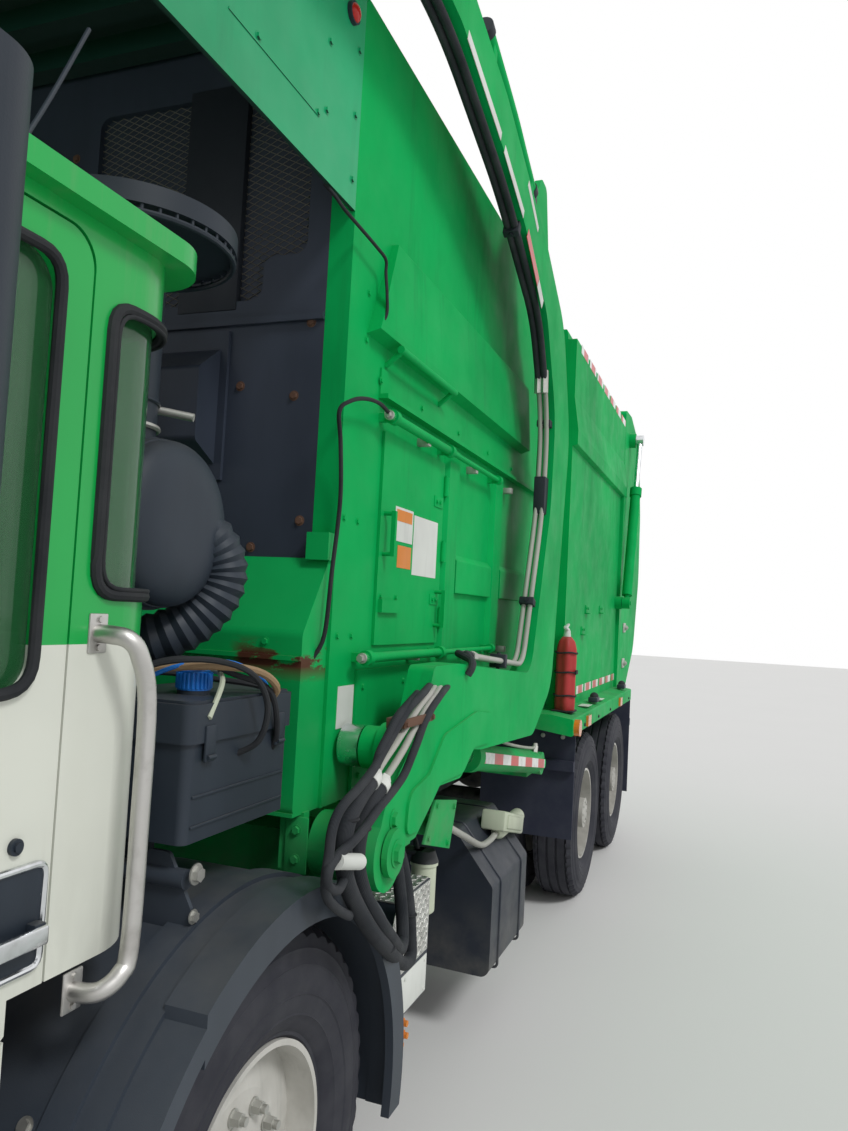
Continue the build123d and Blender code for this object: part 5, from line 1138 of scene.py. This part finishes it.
def wheels():
    """Treaded tyres, and the nuts, studs, hub bolts and valve of each wheel."""
    for axle, node, x, (z, half, places, face, hub_circle, hub_face) in AXLES:
        body = "wheel_" + axle + "_%"
        for side, word in SIDES:
            form = Form()
            for y in places:
                form.lathe(tyre_rings(z, half), TREAD_STEPS, (x, side * y, z))
            name = "treaded_%s_%s_%s" % (node, axle, word)
            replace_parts(form.piece(name, "tyre", body.replace("%", word), 28), "%s_%s" % (node, word))
        form = Form()
        for px, pz in flat(x, z, NUT_CIRCLE, 10, 0.2):
            for low, high, radius, sides, tip in NUT:
                form.rod((px, face + low, pz), (px, face + high, pz), radius, sides, tip)
        form.bolts(at(hub_face - 0.0005, flat(x, z, hub_circle, 8)), OUT, 0.007, 0.006)
        form.both("wheel_nuts_" + axle + "_%", "zinc", body)
        stem = [(x + 0.235, face - 0.002, z), (x + 0.243, face + 0.02, z), (x + 0.256, face + 0.03, z)]
        Form().tube(smooth(stem, 4), 0.004, 8).both("wheel_valve_" + axle + "_%", "rubber", body)


# Along the chassis

def extinguisher():
    """Extinguisher in a red cover with straps, standing on the shelf at the body's front corner."""
    x, y = EXTINGUISHER
    turns = [2 * pi * k / 40 for k in range(40)]
    folds = [((0.056 + 0.004 * sin(5 * a)) * cos(a), (0.056 + 0.004 * sin(5 * a)) * sin(a)) for a in turns]
    part = bmesh.new()
    levels = ((1.281, 0.9), (1.285, 0.97), (1.34, 1.0), (1.45, 0.96), (1.56, 1.0), (1.63, 0.97), (1.672, 0.8),
              (1.7, 0.42))
    rings = [[part.verts.new((x + px * s, y + py * s, z)) for px, py in folds] for z, s in levels]
    for one, two in zip(rings, rings[1:]):
        bridge(part, one, two)
    part.faces.new(rings[0][::-1])
    part.faces.new(rings[-1])
    Form().add(part).piece("extinguisher_cover", "red", sharp=60)
    form = Form()
    turns = [2 * pi * k / 36 for k in range(36)]
    for z in (1.37, 1.5, 1.61):
        strap = [(x + 0.062 * cos(a), y + 0.062 * sin(a), z + 0.003 * sin(3 * a)) for a in turns]
        form.tube(strap, 0.005, 6, True)
    form.box(span(x, 0.03), (y + 0.058, y + 0.066), (1.49, 1.515), 0.002)
    form.box(span(x, 0.062), span(y, 0.062), (1.279, 1.289), 0.003)
    form.piece("extinguisher_straps", "rubber")
    form = Form().rod((x, y, 1.695), (x, y, 1.735), 0.022, 24, 0.018)
    form.box((x - 0.03, x + 0.06), span(y, 0.01), (1.735, 1.752), 0.004, about("Y", -12))
    form.box((x - 0.03, x + 0.05), span(y, 0.008), (1.752, 1.766), 0.004, about("Y", 14))
    form.piece("extinguisher_head", "label")


def tanks():
    """Straps of the side tanks, the right one's cap, and the left one's valve with its pipe."""
    form = Form()
    section = ((0.551, 0.871), (0.551, 0.289), (1.166, 0.274), (1.166, 0.651), (0.984, 0.871))
    for x in (-0.08, 0.28):
        form.tube(divided(rounded(across(x, section), 0.02, 4), 0.05), 0.006, 8, True)
    form.piece("left_tank_straps", "tank")
    form = Form()
    section = ((-0.552, 0.93), (-1.166, 0.931), (-1.166, 0.329), (-0.552, 0.33))
    for x in (0.2, 0.65, 1.1):
        form.tube(divided(rounded(across(x, section), 0.06), 0.05), 0.007, 8, True)
    form.rod((*FUEL_CAP, 0.925), (*FUEL_CAP, 0.965), 0.045, 30, 0.042)
    for low, high in zip(flat(*FUEL_CAP, 0.045, 18), flat(*FUEL_CAP, 0.043, 18)):
        form.rod((*low, 0.935), (*high, 0.964), 0.004, 6)
    form.piece("right_tank_straps", "steel")
    form = Form().rod((-0.3, 1.085, 0.8), (0.06, 1.085, 0.8), 0.036, 28)
    form.rod((0.06, 1.085, 0.8), (0.11, 1.085, 0.8), 0.036, 28, 0.02)
    form.rod((-0.05, 1.06, 0.77), (-0.05, 1.0, 0.7), 0.02, 18)
    form.rod((0.0, 1.085, 0.83), (0.0, 1.085, 0.872), 0.014, 6)
    form.box((-0.26, -0.2), (1.05, 1.121), (0.745, 0.79), 0.006)
    form.box((-0.24, 0.14), (1.02, 1.135), (0.775, 0.865), 0.012, about("Y", -14))
    form.box((-0.2, 0.1), (1.04, 1.143), (0.79, 0.85), 0.008, about("Y", -14))
    form.box((-0.255, -0.205), (0.96, 1.06), (0.72, 0.77), 0.005).piece("tank_valve", "pale")
    Form().tube(smooth([
        (0.1, 1.085, 0.8), (0.2, 1.085, 0.79), (0.335, 1.08, 0.8), (0.55, 1.07, 0.885), (0.8, 1.05, 0.985),
        (0.93, 1.02, 1.01), (1.05, 0.95, 1.01), (1.1, 0.85, 0.99), (1.12, 0.6, 0.97), (1.12, 0.43, 0.96),
    ], 6), 0.014, 12).piece("tank_valve_pipe", "pipe")


def lug_turn(axis, count):
    """Turn of a lug on tread plate, each across the one before it."""
    return about(axis, 45 if count % 2 else -45)


def step_box():
    """Canister and bracket over the step box, the box's tread plate, white panel, trim and air fittings."""
    c = CANISTER
    form = Form().rod((*c, 0.66), (*c, 0.83), 0.048, 32).rod((*c, 0.83), (*c, 0.845), 0.054, 32)
    form.ball((*c, 0.66), 0.048, (1, 1, 0.4)).piece("canister", "pale")
    form = Form().rod((*c, 0.843), (*c, 0.885), 0.056, 32, 0.04)
    form.box((0.79, 0.86), (0.43, 1.0), (0.865, 0.885), 0.004)
    line = ((0.825, 0.97, 0.88), (0.8, 0.93, 0.93), (0.78, 0.8, 0.95), (0.78, 0.5, 0.94))
    form.tube(smooth(line, 5), 0.01)
    form.piece("canister_bracket", "black")
    corners = ((1.002, 1.119), (0.749, 1.072), (0.816, 0.9), (1.107, 0.982))
    form = Form().plate(at(1.085, corners), 0.012, 0.003)
    form.box((0.86, 1.0), (0.43, 1.09), (0.985, 1.03), 0.005)
    form.bolts(at(1.0965, ((0.79, 1.055), (0.99, 1.095), (0.85, 0.93), (1.07, 0.995))), OUT, 0.009, 0.008)
    form.piece("pipe_bracket", "green")
    form = Form().box((1.01, 1.325), (0.6, 1.086), (0.8385, 0.8445), 0.002)
    for row in range(13):
        for column in range(18):
            x, y = 1.022 + 0.0245 * row, 0.612 + 0.0275 * column
            if x < 1.318:
                form.box(span(x, 0.009), span(y, 0.0025), (0.844, 0.8465), 0.0, lug_turn("Z", row + column))
    corners = ((1.006, 0.59), (1.446, 0.59), (1.446, 0.605), (1.322, 0.836), (1.006, 0.836))
    form.plate(at(1.0885, corners), 0.0035)
    for row in range(10):
        for column in range(18):
            x, z = 1.02 + 0.0245 * column, 0.602 + 0.0245 * row
            if z < 0.83 and x < 1.44 - max(0, z - 0.6) * 0.56:
                form.box(span(x, 0.009), (1.0915, 1.0942), span(z, 0.0025), 0.0, lug_turn("Y", row + column))
    form.piece("step_tread_plate", "tread")
    form = Form().box((1.006, 1.444), (1.0885, 1.0925), (0.445, 0.575), 0.002)
    form.bolts([(x, 1.092, z) for x in (1.03, 1.22, 1.42) for z in (0.46, 0.56)], OUT, 0.006, 0.005)
    form.piece("step_box_panel", "label")
    Form().box((1.02, 1.09), (0.9, 1.02), (0.3, 0.445), 0.005).piece("step_box_trim", "black")
    form = Form()
    for x, z in ((1.034, 0.285), (1.078, 0.27), (1.042, 0.33)):
        form.rod((x, 0.96, z), (x, 1.03, z), 0.017).rod((x, 1.03, z), (x, 1.045, z), 0.012, 6)
    form.piece("air_fittings", "orange")


def body_details():
    """Tape, brackets and bolts on the body's sides, lamps on the fender shelves and flap bolts."""
    tape, brackets, lamps, bases = Form(), Form(), Form(), Form()
    for probe, low, high in ((1.355, 1.335, 1.385), (3.42, 3.4, 3.45)):
        for k in range(7):
            x = -3.0 + 0.3 * k
            y = side_face("body_side_left", x, probe)
            tape.box(span(x, 0.12), (y - 0.0006, y + 0.0012), (low, high))
    tape.pair("body_side_tape", "tape")
    for x, z in ((-0.81, 1.743), (-1.5, 1.73), (-1.62, 1.867), (-2.19, 1.878)):
        y = side_face("body_side_left", x, z)
        brackets.box(span(x, 0.05), (y - 0.001, y + 0.006), span(z, 0.028), 0.002)
        brackets.box(span(x, 0.05), (y + 0.003, y + 0.03), (z - 0.028, z - 0.021), 0.002)
        brackets.bolts(at(y + 0.005, ((x - 0.03, z + 0.008), (x + 0.03, z + 0.008))), OUT, 0.008, 0.008)
    brackets.pair("body_side_brackets", "green")
    for x in (-1.585, -2.9):
        bases.box(span(x, 0.05), (1.21, 1.268), (1.279, 1.312), 0.006)
        lamps.ball((x, 1.24, 1.312), 0.036, (1.25, 0.75, 0.8))
    bases.pair("shelf_lamp_bases", "plastic")
    lamps.pair("shelf_lamps", "rubber")
    form = Form()
    for x in (-1.28, -1.78):
        form.box((x - 0.1, x + 0.04), (1.2, 1.262), (1.2795, 1.2815))
    form.pair("shelf_labels", "label")
    form = Form()
    for x, ahead in ((-1.137, 0.014), (-3.776, 0.012)):
        for y in (0.66, 0.78, 0.9, 1.02, 1.14):
            for sign in (1, -1):
                form.bolt((x + ahead * sign, y, 1.1), (sign, 0, 0), 0.01, 0.008)
    form.pair("flap_bolts", "zinc")
    places = [(x, 1.284, 1.2) for x in (-3.0, -2.5, -2.0, -1.5, -1.0, -0.75)]
    Form().bolts(places, OUT, 0.009, 0.008).pair("rear_fender_bolts", "black")


def tailgate_details():
    """Tape, lamps, latches, bolts and a bare plate on the tailgate, and the lenses behind it."""
    tape, bolts, lamps, bases = Form(), Form(), Form(), Form()
    for k in range(-3, 4):
        x, y = rear_face("tailgate", 0.3 * k, 1.33), 0.3 * k
        tape.box((x - 0.0015, x + 0.001), span(y, 0.11), (1.305, 1.355))
    tape.piece("tailgate_tape", "tape", "tailgate")
    for y in (-0.62, -0.31, 0.0, 0.31, 0.62):
        x = rear_face("tailgate", y, 3.42)
        bases.box((x - 0.012, x + 0.004), span(y, 0.06), (3.395, 3.445), 0.005)
        lamps.box((x - 0.028, x - 0.008), span(y, 0.05), (3.403, 3.437), 0.007)
    bases.piece("tailgate_lamp_bases", "plastic", "tailgate")
    lamps.piece("tailgate_top_lamps", "lamp_red", "tailgate")
    x = rear_face("tailgate", 0.0, 1.52)
    plate = Form().box((x - 0.004, x + 0.001), (-0.16, 0.16), (1.44, 1.6), 0.002)
    plate.piece("tailgate_bare_plate", "label", "tailgate")
    for y in (-0.95, -0.5, 0.5, 0.95):
        for z in (1.7, 2.1, 2.5, 2.9, 3.3):
            bolts.bolt((rear_face("tailgate", y, z) + 0.001, y, z), (-1, 0, 0), 0.011, 0.009)
    bolts.piece("tailgate_bolts", "green", "tailgate")
    form = Form()
    for z in (1.45, 1.75):
        y = side_face("tailgate", -3.5, z)
        form.box((-3.56, -3.44), (y - 0.002, y + 0.012), span(z, 0.04), 0.004)
        form.rod((-3.5, y + 0.01, z), (-3.5, y + 0.03, z), 0.022, 24)
        form.bolt((-3.5, y + 0.029, z), OUT, 0.012, 0.01)
    form.pair("tailgate_latches", "zinc", "tailgate")
    form = Form()
    for y in (0.84, 0.9, 0.96):
        form.rod((-4.108, y, 0.54), (-4.116, y, 0.54), 0.024, 24, 0.019)
    form.pair("rear_lamp_lenses", "lamps")


def frame_lines():
    """Air lines and a harness along the frame rails, with their clips."""
    form = Form()
    for z in (0.9, 0.87, 0.84):
        form.tube(smooth(at(0.446, ((2.0, z), (1.2, z + 0.004), (0.2, z - 0.002), (-0.6, z))), 6), 0.009, 8)
    form.pair("frame_lines", "hose")
    form = Form()
    for x in (1.7, 1.1, 0.5, -0.1, -0.5):
        form.box(span(x, 0.012), (0.43, 0.458), (0.825, 0.915), 0.003)
    form.pair("frame_line_clips", "zinc")


# Camera and light

def make_camera():
    yaw, pitch, roll = radians(CAMERA_YAW), radians(CAMERA_PITCH), radians(CAMERA_ROLL)
    ahead = Vector((-cos(yaw) * cos(pitch), -sin(yaw) * cos(pitch), sin(pitch)))
    level_right = ahead.cross(Vector((0, 0, 1))).normalized()
    level_up = level_right.cross(ahead)
    right = level_right * cos(roll) + level_up * sin(roll)
    up = level_up * cos(roll) - level_right * sin(roll)
    data = bpy.data.cameras.new("photo_camera")
    data.sensor_width = 36
    data.lens = data.sensor_width * FOCAL_PIXELS / PHOTO_HEIGHT
    data.clip_start = 0.02
    data.clip_end = 200
    camera = bpy.data.objects.new("photo_camera", data)
    turn = Matrix((right, up, -ahead)).transposed().to_4x4()
    camera.matrix_world = Matrix.Translation(CAMERA_PLACE) @ turn
    bpy.context.scene.collection.objects.link(camera)
    bpy.context.scene.camera = camera


def make_stage():
    """Pale floor, white surroundings and soft studio light."""
    bpy.ops.mesh.primitive_plane_add(size=90, location=(0, 0, -0.001))
    floor = bpy.context.object
    floor.name = "studio_floor"
    f = Finish("studio_floor_finish", 0.7)
    f.color = f.mix(f.cloud(0.6, 0.3, 0.7, 0.1), (0.7, 0.7, 0.69), (0.6, 0.6, 0.6))
    floor.data.materials.append(f.done())
    world = bpy.data.worlds.new("studio")
    bpy.context.scene.world = world
    world.use_nodes = True
    nodes = Nodes(world.node_tree)
    background = world.node_tree.nodes["Background"]
    nodes.put(background.inputs["Color"], (1, 1, 1))
    rays = nodes.node("LightPath").outputs
    seen = nodes.math("MAXIMUM", rays["Is Camera Ray"], rays["Is Glossy Ray"])
    seen = nodes.math("MAXIMUM", seen, rays["Is Transmission Ray"])
    nodes.put(background.inputs["Strength"], nodes.window(seen, 0.0, 1.0, 1.0, 0.62))
    sun = bpy.data.lights.new("key", "SUN")
    sun.energy = 1.5
    sun.angle = radians(14)
    lamp = bpy.data.objects.new("key", sun)
    lamp.rotation_euler = (radians(-38), radians(24), 0)
    bpy.context.scene.collection.objects.link(lamp)
    bpy.context.scene.view_settings.view_transform = "Standard"


make_camera()
make_stage()
dress_nodes()
cab_gaskets()
cab_handles()
cab_front()
hopper_side()
hopper_front()
intake_body()
air_intake()
fluid_box()
fender_fixings()
arm_details()
pivot_hoses()
lift_details()
wheels()
extinguisher()
tanks()
step_box()
body_details()
tailgate_details()
frame_lines()
